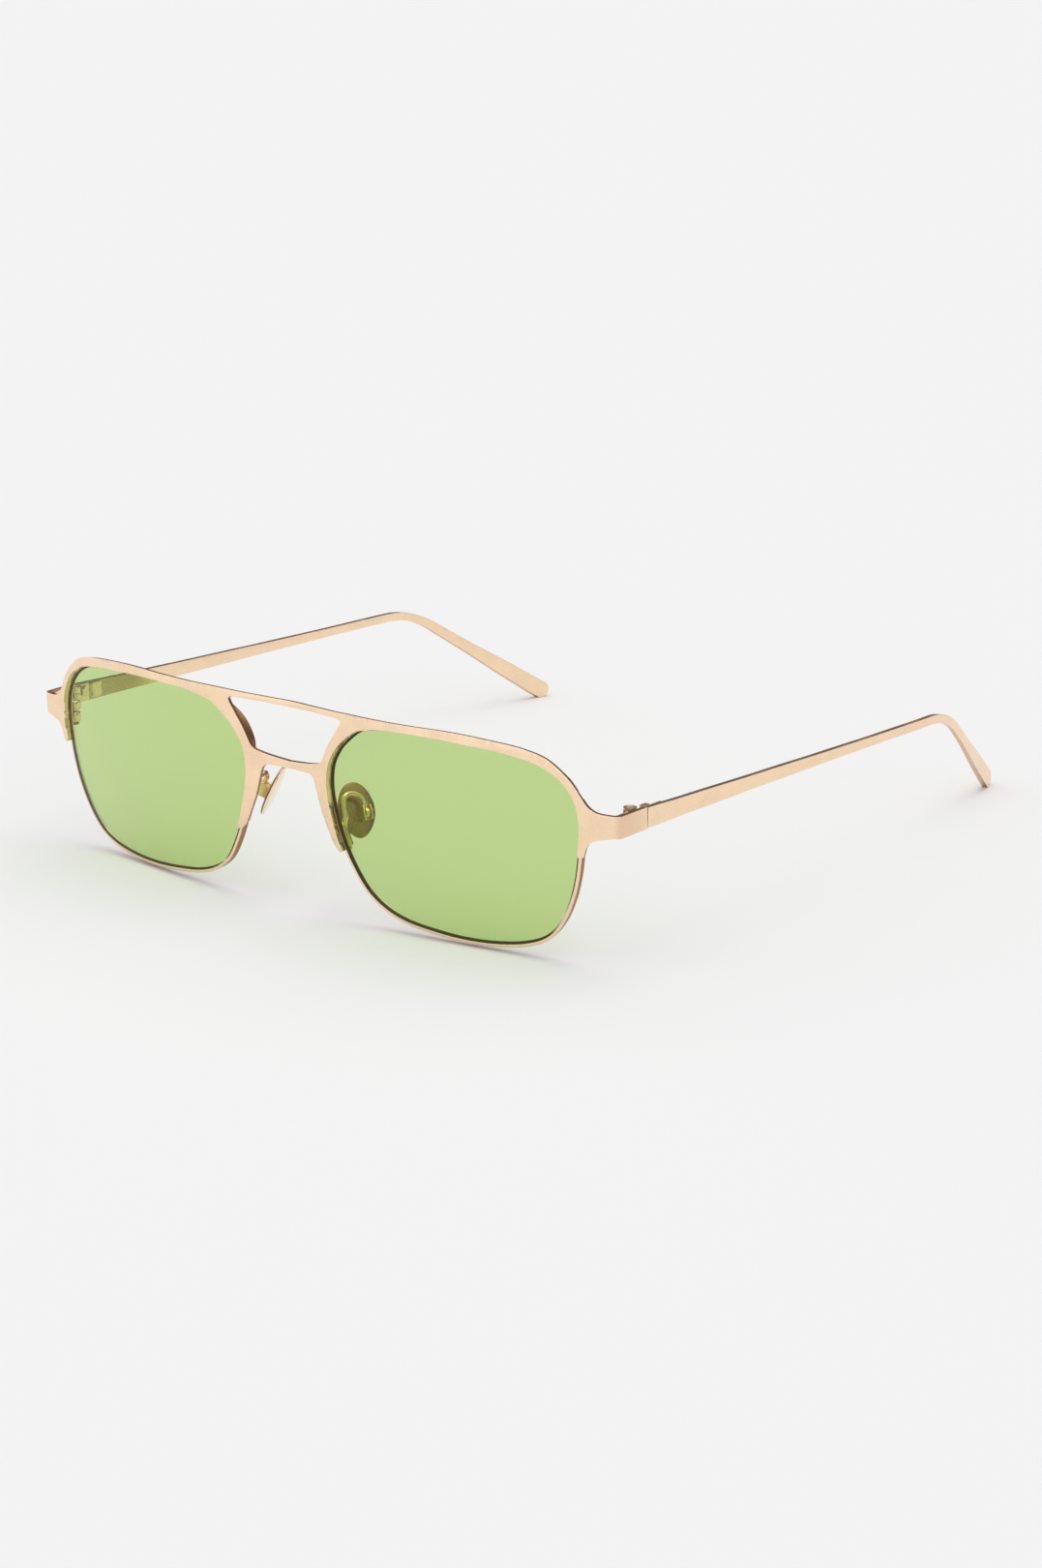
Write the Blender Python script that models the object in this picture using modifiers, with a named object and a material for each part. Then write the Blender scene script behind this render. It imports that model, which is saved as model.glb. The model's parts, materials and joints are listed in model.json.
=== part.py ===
"""Metal aviator sunglasses: a thin front sheet over two eyewires, tinted lenses, rocking nose pads and folding temples.

Metres, +Z up. The wearer faces -Y, so the wearer's left is +X. The origin is on the table, midway along the depth.
Every pair is modelled once on the +X side and mirrored to the -X side.
"""

import math

import bmesh
import bpy
from mathutils import Matrix, Vector

MM = 0.001
SIDES = (("left", 1), ("right", -1))

# Where the middle of the bridge stands in the part's frame.
BRIDGE_BACK = -73.943 * MM
BRIDGE_UP = 33.89 * MM

# The front's curve: each eye follows one lens curve, joined across the bridge by a flat parabola.
LENS_CURVE = 86.0 * MM
LENS_CENTRE_X = 36.0 * MM
LENS_YAW = 0.115
LENS_CENTRE_Z = -6.0 * MM
BRIDGE_HALF = 8.65 * MM
FACET_X = 62.5 * MM
FACET_SLOPE = 0.31
CORNER_X = 68.2 * MM
CORNER_RADIUS = 1.15 * MM

# The front sheet.
SHEET = 0.9 * MM
LUG_TOP = -5.45 * MM
LUG_BOTTOM = -9.4 * MM
END_PIECE_BACK = 17.5 * MM
OUTER_ARM_END = -13.6 * MM
NASAL_ARM_END = -20.6 * MM

# Eyewires and lenses: depths are measured back from the sheet's face.
RIM_WIDTH = 0.9 * MM
RIM_FRONT = 1.0 * MM
RIM_BACK = 2.4 * MM
GROOVE_MID = 1.65 * MM
GROOVE_HALF = 0.5 * MM
GROOVE_DEEP = 0.55 * MM
LENS_FRONT = 0.95 * MM
LENS_BACK = 2.15 * MM
LENS_GAP = 0.12 * MM
LENS_RIDGE = 0.45 * MM
LENS_RIDGE_HALF = 0.35 * MM
NOSE_SWELL = 1.1 * MM  # the eyewire is wider where it backs the bridge
SWELL_AT = Vector((12.4, -1.0)) * MM
SWELL_REACH = 6.5 * MM
RIM_SPLIT_Z = -8.4 * MM
RIM_SPLIT = 0.25 * MM

# Closing blocks behind the eyewires.
LOCK_X = (61.2 * MM, 63.2 * MM)
LOCK_DEPTH = (2.8 * MM, 4.5 * MM)
LOCK_HALF_HEIGHT = 2.1 * MM
LOCK_SCREW_RADIUS = 0.4 * MM

# Hinges: an upright axis inside the end piece.
HINGE_X = 66.75 * MM
HINGE_Y = 15.5 * MM
KNUCKLE_RADIUS = 1.2 * MM
KNUCKLE_LEVELS = (-9.35 * MM, -8.4 * MM, -6.5 * MM, -5.35 * MM)
KNUCKLE_GAP = 0.1 * MM
HINGE_HOLE = 0.55 * MM
HINGE_PIN = 0.45 * MM
HINGE_HEAD = 0.8 * MM
HINGE_HEAD_DEEP = 0.45 * MM
HINGE_PIVOT = Vector((HINGE_X, HINGE_Y, (LUG_TOP + LUG_BOTTOM) / 2))
LEAF = 0.6 * MM
LEAF_GAP = 0.1 * MM
FRONT_LEAF_START = 10.6 * MM
TEMPLE_LEAF = 5.6 * MM
SHOULDER_LENGTH = 1.9 * MM

# Temples: a flat strip, tapered to the bend and widened again to a rounded tip.
TEMPLE_FRONT = 17.65 * MM
TEMPLE_BEND = (114.9 * MM, -10.5 * MM)
TEMPLE_TIP = (146.1 * MM, -32.2 * MM)
TEMPLE_BEND_RADIUS = 22.0 * MM
TEMPLE_HEIGHTS = ((0, 3.7), (12, 3.2), (35, 2.5), (55, 2.0), (72, 1.7), (96, 1.65), (112, 2.1), (126, 3.1), (134, 3.4))
TEMPLE_THICK = 1.0 * MM
TIP_THICK = 1.5 * MM
PLAN_SLOPE = 0.013
PLAN_TIP_SLOPE = 0.325
PLAN_BEND = (102.0 * MM, 128.0 * MM)

# Nose pads.
PAD_CENTRE = Vector((10.3, 8.9, -14.9)) * MM
PAD_LENGTH = 11.0 * MM
PAD_WIDTH = 7.0 * MM
PAD_THICK = 1.2 * MM
PAD_SPLAY = math.radians(25)
PAD_FLARE = math.radians(23)
PAD_LEAN = math.radians(-11)
BOX_OUT = 2.3 * MM
BOX_BACK = 0.9 * MM
BOX_DROP = 0.6 * MM
EYE_RADIUS = 0.85 * MM
EYE_THICK = 0.8 * MM
CHEEK = 0.35 * MM
CHEEK_GAP = 0.12 * MM
PAD_SCREW = 0.32 * MM
WIRE_RADIUS = 0.5 * MM

GOLD = (0.83, 0.62, 0.44)
STEP = 1.6 * MM  # how far apart the points of a smooth outline lie

# Right-hand outlines, in millimetres out from the middle and up from the bridge.
WINDOW = (
    (17, 2.9), (20.5, 3.95), (24, 4.5), (29, 4.75), (36, 4.8), (42, 4.5), (48, 4.0), (53.5, 2.95),
    (57, 1.35), (59.6, -0.9), (61.3, -4), (61.9, -7.8), (61.6, -12.4), (60.9, -17.2), (59.6, -21.8), (57.4, -26.4),
    (54.3, -30), (50, -31.9), (44, -32.85), (37.5, -33.05), (31, -32.6), (25, -31.8), (20.5, -30.2), (17, -27.6),
    (14.4, -23.8), (12.35, -19.5), (10.9, -15), (9.95, -10.8), (9.75, -7.6), (10.25, -4.5), (11.6, -2), (13.4, 0.1),
)
BROW = (
    (0, 5.3), (5, 5.3), (10, 5.5), (16, 5.8), (23, 6), (30, 6.2), (37, 6.35), (43, 6.1), (49, 5.55),
    (52.5, 4.95), (55.6, 4), (57.7, 2.7), (59.7, 0.9),
)
SHOULDER = ((61.2, -0.9), (62.3, -2.7), (63.3, -4.1), (64.4, -4.95), (65.8, -5.35), (68.2, -5.45))
ARM_OUTSIDE = (
    (68.2, -9.4), (66.8, -9.7), (65.4, -10), (64.3, -10.35), (63.5, -11), (63.0, -11.8), (62.75, -12.7),
    (62.55, -13.4), (62.2, -13.6),
)
NOSE_SIDE = ((12, -20.6), (10.7, -19.4), (9.5, -17), (7.9, -13.4), (6.75, -9.6), (6.2, -7.9), (5.3, -7.15), (4, -7.05))
BRIDGE_HOLE = (
    (0, 4.2), (12.3, 4.5), (13.2, 4.45), (13.5, 4.1), (13.3, 3.6), (11.8, 1.5), (10.1, -1), (8.5, -4),
    (8, -4.5), (7.3, -4.75), (5.2, -5.2), (2.7, -5.5), (0, -5.7),
)


# ---------------------------------------------------------------- scene

def clear_scene():
    for thing in list(bpy.data.objects):
        bpy.data.objects.remove(thing)


def new_collection(name):
    made = bpy.data.collections.new(name)
    bpy.context.scene.collection.children.link(made)
    return made


clear_scene()
PARTS = new_collection("aviator_sunglasses")
CUTTERS = new_collection("cutters")
CUTTERS.hide_render = True


def material(name, colour, metallic, roughness, alpha=1.0):
    made = bpy.data.materials.new(name)
    made.use_nodes = True
    shader = made.node_tree.nodes["Principled BSDF"]
    shader.inputs["Base Color"].default_value = (*colour, 1)
    shader.inputs["Metallic"].default_value = metallic
    shader.inputs["Roughness"].default_value = roughness
    shader.inputs["Alpha"].default_value = alpha
    made.diffuse_color = (*colour, alpha)
    return made


def add_object(name, mesh, collection=PARTS):
    made = bpy.data.objects.new(name, mesh)
    collection.objects.link(made)
    return made


# ---------------------------------------------------------------- outlines

def smooth(points, closed=False, scale=MM, step=STEP):
    """Points along a Catmull-Rom curve through the given ones, about a step apart."""
    knots = [Vector(p) * scale for p in points]
    count = len(knots)
    runs = count if closed else count - 1
    found = []
    for i in range(runs):
        a, b = knots[i], knots[(i + 1) % count]
        before = knots[i - 1] if closed or i > 0 else a - (b - a)
        after = knots[(i + 2) % count] if closed or i + 2 < count else b + (b - a)
        pieces = max(1, round((b - a).length / step))
        for k in range(pieces):
            t = k / pieces
            found.append(
                0.5 * (2 * a + (b - before) * t + (2 * before - 5 * a + 4 * b - after) * t**2
                       + (3 * a - before - 3 * b + after) * t**3)
            )
    return found if closed else found + [knots[-1]]


def offset(points, distance):
    """A closed clockwise outline moved out by a distance."""
    found = []
    for i, point in enumerate(points):
        along = points[(i + 1) % len(points)] - points[i - 1]
        found.append(point + Vector((-along.y, along.x)).normalized() * distance)
    return found


def swollen(inner, outer):
    """The eyewire's outside, moved out where it backs the bridge."""
    found = []
    for near, far in zip(inner, outer):
        share = max(0, 1 - ((near - SWELL_AT).length / SWELL_REACH) ** 2)
        found.append(far + (far - near).normalized() * NOSE_SWELL * share)
    return found


WINDOW_LINE = smooth(WINDOW, closed=True)
RIM_LINE = swollen(WINDOW_LINE, offset(WINDOW_LINE, RIM_WIDTH))


# ---------------------------------------------------------------- the curved front

def lens_curve(x):
    """Depth and slope of the lens curve in plan, from the lens centre's own depth."""
    from_middle = x - (LENS_CENTRE_X - LENS_CURVE * math.sin(LENS_YAW))
    reach = math.sqrt(LENS_CURVE**2 - from_middle**2)
    return LENS_CURVE * math.cos(LENS_YAW) - reach, from_middle / reach


def plan(s):
    """Place and heading, in plan, of the sheet's face at s: x out to the corner, then length along the end piece."""
    depth, slope = lens_curve(min(max(s, BRIDGE_HALF), FACET_X))
    if s < BRIDGE_HALF:
        slope_here = slope * s / BRIDGE_HALF
        return s, depth + slope * (s**2 - BRIDGE_HALF**2) / (2 * BRIDGE_HALF), math.atan(slope_here)
    if s < FACET_X:
        return s, depth, math.atan(slope)
    heading = math.atan(FACET_SLOPE)
    if s < CORNER_X:
        return s, depth + (s - FACET_X) * FACET_SLOPE, heading
    depth += (CORNER_X - FACET_X) * FACET_SLOPE
    turned = min(heading + (s - CORNER_X) / CORNER_RADIUS, math.pi / 2)
    x = CORNER_X + CORNER_RADIUS * (math.sin(turned) - math.sin(heading))
    depth += CORNER_RADIUS * (math.cos(heading) - math.cos(turned))
    straight = max(0, s - CORNER_X - CORNER_RADIUS * (math.pi / 2 - heading))
    return x, depth + straight, turned


def on_front(s, up, depth):
    """The point a given depth behind the sheet's face."""
    x, y, heading = plan(abs(s))
    lift = up - LENS_CENTRE_Z
    sag = LENS_CURVE - math.sqrt(LENS_CURVE**2 - lift**2)
    back = Vector((-math.sin(heading), math.cos(heading), -lift / LENS_CURVE)).normalized()
    point = Vector((x, y + sag, up)) + back * depth
    return Vector((point.x if s >= 0 else -point.x, point.y, point.z))


SIDE_X = plan(CORNER_X + CORNER_RADIUS * math.pi)[0]
CORNER_LENGTH = CORNER_RADIUS * (math.pi / 2 - math.atan(FACET_SLOPE))
END_S = CORNER_X + CORNER_LENGTH + END_PIECE_BACK - plan(CORNER_X + CORNER_LENGTH)[1]


# ---------------------------------------------------------------- mesh helpers

def flat_mesh(name, outlines, low, high):
    """A flat outline, with any holes, filled and extruded between two levels."""
    curve = bpy.data.curves.new(name, "CURVE")
    curve.dimensions = "2D"
    curve.fill_mode = "BOTH"
    curve.extrude = (high - low) / 2
    for outline in outlines:
        line = curve.splines.new("POLY")
        line.points.add(len(outline) - 1)
        line.use_cyclic_u = True
        for point, spot in zip(line.points, outline):
            point.co = (spot[0], spot[1], 0, 1)
    return mesh_of(curve, Matrix.Translation((0, 0, (low + high) / 2)))


def mesh_of(curve, matrix):
    """The mesh of a curve, its caps welded on; the curve is removed."""
    shape = bpy.data.objects.new(curve.name, curve)
    bpy.context.scene.collection.objects.link(shape)
    graph = bpy.context.evaluated_depsgraph_get()
    mesh = bpy.data.meshes.new_from_object(shape.evaluated_get(graph))
    bpy.data.objects.remove(shape)
    mesh.transform(matrix)
    edit(mesh, lambda bm: bmesh.ops.remove_doubles(bm, verts=bm.verts, dist=1e-6))
    return mesh


def edit(mesh, change):
    bm = bmesh.new()
    bm.from_mesh(mesh)
    change(bm)
    bm.to_mesh(mesh)
    bm.free()


def slice_along(mesh, axis, places):
    """Cuts every face at these places along an axis, so that the mesh can bend there."""
    normal = Vector((0, 0, 0))
    normal[axis] = 1

    def cut(bm):
        for place in places:
            everything = bm.verts[:] + bm.edges[:] + bm.faces[:]
            bmesh.ops.bisect_plane(bm, geom=everything, dist=1e-7, plane_co=normal * place, plane_no=normal)
        bmesh.ops.triangulate(bm, faces=bm.faces)

    edit(mesh, cut)


def steps(low, high, count):
    return [low + (high - low) * (i + 1) / (count + 1) for i in range(count)]


def wrap(mesh, place):
    for vertex in mesh.vertices:
        vertex.co = place(*vertex.co)
    mesh.update()


def to_frame(mesh):
    mesh.transform(Matrix.Translation((0, BRIDGE_BACK, BRIDGE_UP)))
    return mesh


def mirrored(mesh):
    """A copy of the mesh on the -X side."""
    copy = mesh.copy()
    copy.transform(Matrix.Scale(-1, 4, (1, 0, 0)))
    copy.flip_normals()
    return copy


def finish(thing, finish_material, angle=35):
    thing.data.materials.clear()
    thing.data.materials.append(finish_material)
    thing.data.shade_smooth()
    thing.data.set_sharp_from_angle(angle=math.radians(angle))
    return thing


def pair(name, mesh, finish_material, angle=35, pivot=None):
    """The left and right pieces of a mesh given on the +X side; a moving piece has its origin at its pivot."""
    for side, sign in SIDES:
        shape = to_frame(mesh.copy() if sign > 0 else mirrored(mesh))
        piece = finish(add_object(f"{name}_{side}", shape), finish_material, angle)
        if pivot:
            piece.location = (sign * pivot.x, pivot.y + BRIDGE_BACK, pivot.z + BRIDGE_UP)
            shape.transform(Matrix.Translation(-piece.location))
    bpy.data.meshes.remove(mesh)


def box(low, high):
    """A box mesh between two corners."""
    bm = bmesh.new()
    bmesh.ops.create_cube(bm, size=1)
    low, high = Vector(low), Vector(high)
    middle = (low + high) / 2
    size = high - low
    bmesh.ops.transform(bm, matrix=Matrix.Translation(middle) @ Matrix.Diagonal((*size, 1)), verts=bm.verts)
    mesh = bpy.data.meshes.new("box")
    bm.to_mesh(mesh)
    bm.free()
    return mesh


def rod(start, end, radius, sides=28):
    """A cylinder mesh between two points."""
    start, end = Vector(start), Vector(end)
    along = end - start
    turn = along.to_track_quat("Z", "Y").to_matrix().to_4x4()
    bm = bmesh.new()
    bmesh.ops.create_cone(
        bm, cap_ends=True, segments=sides, radius1=radius, radius2=radius, depth=along.length,
        matrix=Matrix.Translation((start + end) / 2) @ turn,
    )
    mesh = bpy.data.meshes.new("rod")
    bm.to_mesh(mesh)
    bm.free()
    return mesh


def combine(base, others, operation):
    """The base mesh with each of the others joined to it or cut from it."""
    body = add_object("body", base, CUTTERS)
    for other in others:
        tool = add_object("tool", other, CUTTERS)
        change = body.modifiers.new(operation.lower(), "BOOLEAN")
        change.operation = operation
        change.object = tool
    graph = bpy.context.evaluated_depsgraph_get()
    graph.update()
    mesh = bpy.data.meshes.new_from_object(body.evaluated_get(graph))
    for thing in list(CUTTERS.objects):
        bpy.data.objects.remove(thing)
    return mesh


def bevelled(mesh, width, angle=40):
    """The mesh with its sharp edges taken off."""
    body = add_object("body", mesh, CUTTERS)
    round_off = body.modifiers.new("bevel", "BEVEL")
    round_off.width = width
    round_off.limit_method = "ANGLE"
    round_off.angle_limit = math.radians(angle)
    graph = bpy.context.evaluated_depsgraph_get()
    graph.update()
    made = bpy.data.meshes.new_from_object(body.evaluated_get(graph))
    bpy.data.objects.remove(body)
    return made


# ---------------------------------------------------------------- front sheet

def half_outline():
    """The sheet's outline on the +X side, clockwise from the top of the bridge to the bottom of it."""
    corner = 0.15 * MM
    upper_window = [p for p in WINDOW_LINE if p.y > (OUTER_ARM_END if p.x > LENS_CENTRE_X else NASAL_ARM_END)]
    start = min(range(len(upper_window)), key=lambda i: (upper_window[i].x < LENS_CENTRE_X, upper_window[i].y))
    lens_edge = [upper_window[start - i] for i in range(len(upper_window))]
    return (
        smooth(BROW + SHOULDER)
        + [Vector((END_S - corner, LUG_TOP)), Vector((END_S, LUG_TOP - corner))]
        + [Vector((END_S, LUG_BOTTOM + corner)), Vector((END_S - corner, LUG_BOTTOM))]
        + smooth(ARM_OUTSIDE)
        + [Vector((lens_edge[0].x + corner / 2, OUTER_ARM_END))]
        + lens_edge
        + smooth(NOSE_SIDE)
        + [Vector((0, NOSE_SIDE[-1][1] * MM))]
    )


def closed_outline(half):
    return half + [Vector((-p.x, p.y)) for p in reversed(half) if p.x > 1e-6]


def make_front_sheet():
    outlines = [closed_outline(half_outline()), closed_outline(smooth(BRIDGE_HOLE))]
    mesh = flat_mesh("front_sheet", outlines, -SHEET, 0)
    bends = steps(-CORNER_X, CORNER_X, 27)
    turn = [CORNER_X + CORNER_LENGTH * i / 4 for i in range(5)]
    slice_along(mesh, 0, bends + turn + [-t for t in turn] + [FACET_X, -FACET_X])
    slice_along(mesh, 1, steps(NASAL_ARM_END, 0, 3))
    wrap(mesh, lambda s, up, level: on_front(s, up, -level))
    return finish(add_object("front_sheet", to_frame(mesh)), METALS["front_sheet"], 30)


# ---------------------------------------------------------------- eyewires and lenses

def make_rims():
    """Each eyewire is a grooved channel run round the lens, open at its closing block."""
    inner = WINDOW_LINE
    profile = (
        (inner, RIM_FRONT), (RIM_LINE, RIM_FRONT), (RIM_LINE, RIM_BACK), (inner, RIM_BACK),
        (inner, GROOVE_MID + GROOVE_HALF), (offset(inner, GROOVE_DEEP), GROOVE_MID),
        (inner, GROOVE_MID - GROOVE_HALF),
    )
    rings = [[Vector((*p, -depth)) for p in line] for line, depth in profile]
    bm = bmesh.new()
    rows = [[bm.verts.new(p) for p in ring] for ring in rings]
    for low, high in zip(rows, rows[1:] + rows[:1]):
        for i in range(len(inner)):
            k = (i + 1) % len(inner)
            bm.faces.new((low[i], high[i], high[k], low[k]))
    bmesh.ops.recalc_face_normals(bm, faces=bm.faces)
    mesh = bpy.data.meshes.new("rim")
    bm.to_mesh(mesh)
    bm.free()
    gap = box(
        (LENS_CENTRE_X, RIM_SPLIT_Z - RIM_SPLIT / 2, -2 * RIM_BACK),
        (CORNER_X, RIM_SPLIT_Z + RIM_SPLIT / 2, 0),
    )
    mesh = combine(mesh, [gap], "DIFFERENCE")
    wrap(mesh, lambda s, up, level: on_front(s, up, -level))
    return pair("rim", mesh, METALS["rim"])


def make_lenses():
    """Each lens is a curved slab with a ridge round its edge that sits in the eyewire's groove."""
    outline = offset(WINDOW_LINE, -LENS_GAP)[::2]
    ridge = offset(WINDOW_LINE, LENS_RIDGE - LENS_GAP)[::2]
    mesh = flat_mesh("lens", [outline], -LENS_BACK, -LENS_FRONT)
    left, right = min(p.x for p in outline), max(p.x for p in outline)
    slice_along(mesh, 0, steps(left, right, 7))
    slice_along(mesh, 1, steps(min(p.y for p in outline), max(p.y for p in outline), 5))
    slice_along(mesh, 2, [-GROOVE_MID - LENS_RIDGE_HALF, -GROOVE_MID, -GROOVE_MID + LENS_RIDGE_HALF])

    def push_out(bm):
        for vertex in bm.verts:
            if abs(vertex.co.z + GROOVE_MID) > 1e-6:
                continue
            near = min(range(len(outline)), key=lambda i: (outline[i] - vertex.co.xy).length)
            ends = [(near - 1) % len(outline), near, (near + 1) % len(outline)]
            along = (outline[ends[2]] - outline[ends[0]]).normalized()
            slide = (vertex.co.xy - outline[near]).dot(along)
            vertex.co.xy = ridge[near] + along * slide

    edit(mesh, push_out)
    wrap(mesh, lambda s, up, level: on_front(s, up, -level))
    return pair("lens", mesh, METALS["lens"], 30)


def make_locks():
    """Two closing blocks behind each eyewire's split, drawn together by an upright screw."""
    _, face, _ = plan(sum(LOCK_X) / 2)
    front, back = face + LOCK_DEPTH[0], face + LOCK_DEPTH[1]
    middle = ((LOCK_X[0] + LOCK_X[1]) / 2, (front + back) / 2)
    bottom, top = RIM_SPLIT_Z - LOCK_HALF_HEIGHT, RIM_SPLIT_Z + LOCK_HALF_HEIGHT
    bore = LOCK_SCREW_RADIUS + 0.1 * MM
    for name, low, high in (
        ("rim_lock_upper", RIM_SPLIT_Z + RIM_SPLIT / 2, top),
        ("rim_lock_lower", bottom, RIM_SPLIT_Z - RIM_SPLIT / 2),
    ):
        block = bevelled(box((LOCK_X[0], front, low), (LOCK_X[1], back, high)), 0.2 * MM)
        hole = rod((*middle, bottom - MM), (*middle, top + MM), bore)
        pair(name, combine(block, [hole], "DIFFERENCE"), METALS["lock"])
    shaft = rod((*middle, bottom - 0.3 * MM), (*middle, top - 0.3 * MM), LOCK_SCREW_RADIUS)
    head = rod((*middle, bottom - 0.5 * MM), (*middle, bottom - 0.1 * MM), 2 * LOCK_SCREW_RADIUS)
    pair("rim_lock_screw", combine(shaft, [head], "UNION"), METALS["screw"])


# ---------------------------------------------------------------- nose pads

def pad_frame():
    """Axes of the +X pad: along its width, along its length, and away from the nose."""
    width = Vector((math.sin(PAD_SPLAY), math.cos(PAD_SPLAY), 0))
    length = Vector((-math.sin(PAD_FLARE), -math.sin(PAD_LEAN), math.cos(PAD_FLARE))).normalized()
    length = (length - width * length.dot(width)).normalized()
    return width, length, width.cross(length)


def in_pad(*, width=0.0, length=0.0, out=0.0):
    """A point given along the pad's own axes; out is away from the nose."""
    across, up, away = pad_frame()
    return PAD_CENTRE + across * width + up * length + away * out


def pad_matrix(*, width=0.0, length=0.0):
    """From the pad's own axes to the part's, with the origin moved over the pad's back."""
    turn = Matrix(pad_frame()).transposed().to_4x4()
    return Matrix.Translation(in_pad(width=width, length=length)) @ turn


PAD_PIVOT = in_pad(width=BOX_BACK, length=-BOX_DROP, out=BOX_OUT)


def make_pads():
    bm = bmesh.new()
    bmesh.ops.create_cone(bm, cap_ends=True, segments=32, radius1=0.5, radius2=0.5, depth=1)
    size = Matrix.Diagonal((PAD_WIDTH, PAD_LENGTH, PAD_THICK, 1))
    bmesh.ops.transform(bm, matrix=size, verts=bm.verts)
    mesh = bpy.data.meshes.new("pad")
    bm.to_mesh(mesh)
    bm.free()
    mesh = bevelled(mesh, 0.35 * MM)
    mesh.transform(pad_matrix())
    pair("nose_pad", mesh, METALS["pad"], pivot=PAD_PIVOT)


def make_pad_boxes():
    """A small channel on the pad's back, whose two cheeks hold the arm's eye on a cross screw."""
    half = EYE_THICK / 2 + CHEEK_GAP
    floor = PAD_THICK / 2 + 0.1 * MM
    reach = BOX_OUT + EYE_RADIUS
    base = box((-half - CHEEK, -1.3 * MM, floor), (half + CHEEK, 1.3 * MM, floor + 0.3 * MM))
    cheeks = [
        box((low, -1.3 * MM, floor + 0.1 * MM), (low + CHEEK, 1.3 * MM, reach))
        for low in (-half - CHEEK, half)
    ]
    hole = rod((-2 * half - CHEEK, 0, BOX_OUT), (2 * half + CHEEK, 0, BOX_OUT), PAD_SCREW + 0.1 * MM, 14)
    mesh = combine(combine(base, cheeks, "UNION"), [hole], "DIFFERENCE")
    place = pad_matrix(width=BOX_BACK, length=-BOX_DROP)
    mesh.transform(place)
    pair("pad_box", mesh, METALS["box"], pivot=PAD_PIVOT)
    head_side = half + CHEEK
    shaft = rod((-head_side, 0, BOX_OUT), (head_side + 0.2 * MM, 0, BOX_OUT), PAD_SCREW, 14)
    head = rod((head_side + 0.1 * MM, 0, BOX_OUT), (head_side + 0.45 * MM, 0, BOX_OUT), 0.62 * MM, 16)
    screw = combine(shaft, [head], "UNION")
    screw.transform(place)
    pair("pad_screw", screw, METALS["screw"], pivot=PAD_PIVOT)


def make_pad_arms():
    """A bent wire from a foot on the eyewire's back, up and over to a flat eye in the pad's box."""
    foot_low = on_front(12.15 * MM, -20.0 * MM, RIM_BACK + 0.6 * MM)
    foot_high = on_front(10.95 * MM, -16.6 * MM, RIM_BACK + 0.6 * MM)
    across, up, _ = pad_frame()
    eye = PAD_PIVOT
    rise = in_pad(out=BOX_OUT + 0.3 * MM, length=3.1 * MM, width=-1.2 * MM)
    route = [
        foot_low, foot_high, foot_high + Vector((-0.1, 0.4, 1.8)) * MM, rise + Vector((-0.2, -2.0, -0.4)) * MM,
        rise, eye + up * 2.6 * MM - across * 0.2 * MM, eye + up * EYE_RADIUS * 0.6,
    ]
    curve = bpy.data.curves.new("pad_arm", "CURVE")
    curve.dimensions = "3D"
    curve.bevel_depth = WIRE_RADIUS
    curve.bevel_resolution = 2
    curve.use_fill_caps = True
    line = curve.splines.new("POLY")
    points = smooth([tuple(p) for p in route], scale=1, step=0.5 * MM)
    line.points.add(len(points) - 1)
    for knot, point in zip(line.points, points):
        knot.co = (*point, 1)
        near = 1 - min(1, (point - eye).length / (2.6 * MM))
        knot.radius = 1 - 0.35 * near
    wire = mesh_of(curve, Matrix.Identity(4))
    disc = rod(eye - across * EYE_THICK / 2, eye + across * EYE_THICK / 2, EYE_RADIUS, 18)
    hole = rod(eye - across * EYE_THICK, eye + across * EYE_THICK, PAD_SCREW + 0.1 * MM, 14)
    mesh = combine(combine(wire, [disc], "UNION"), [hole], "DIFFERENCE")
    pair("pad_arm", mesh, METALS["arm"])


# ---------------------------------------------------------------- hinges

def knuckle(low, high):
    return rod((HINGE_X, HINGE_Y, low), (HINGE_X, HINGE_Y, high), KNUCKLE_RADIUS, 36)


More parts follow.
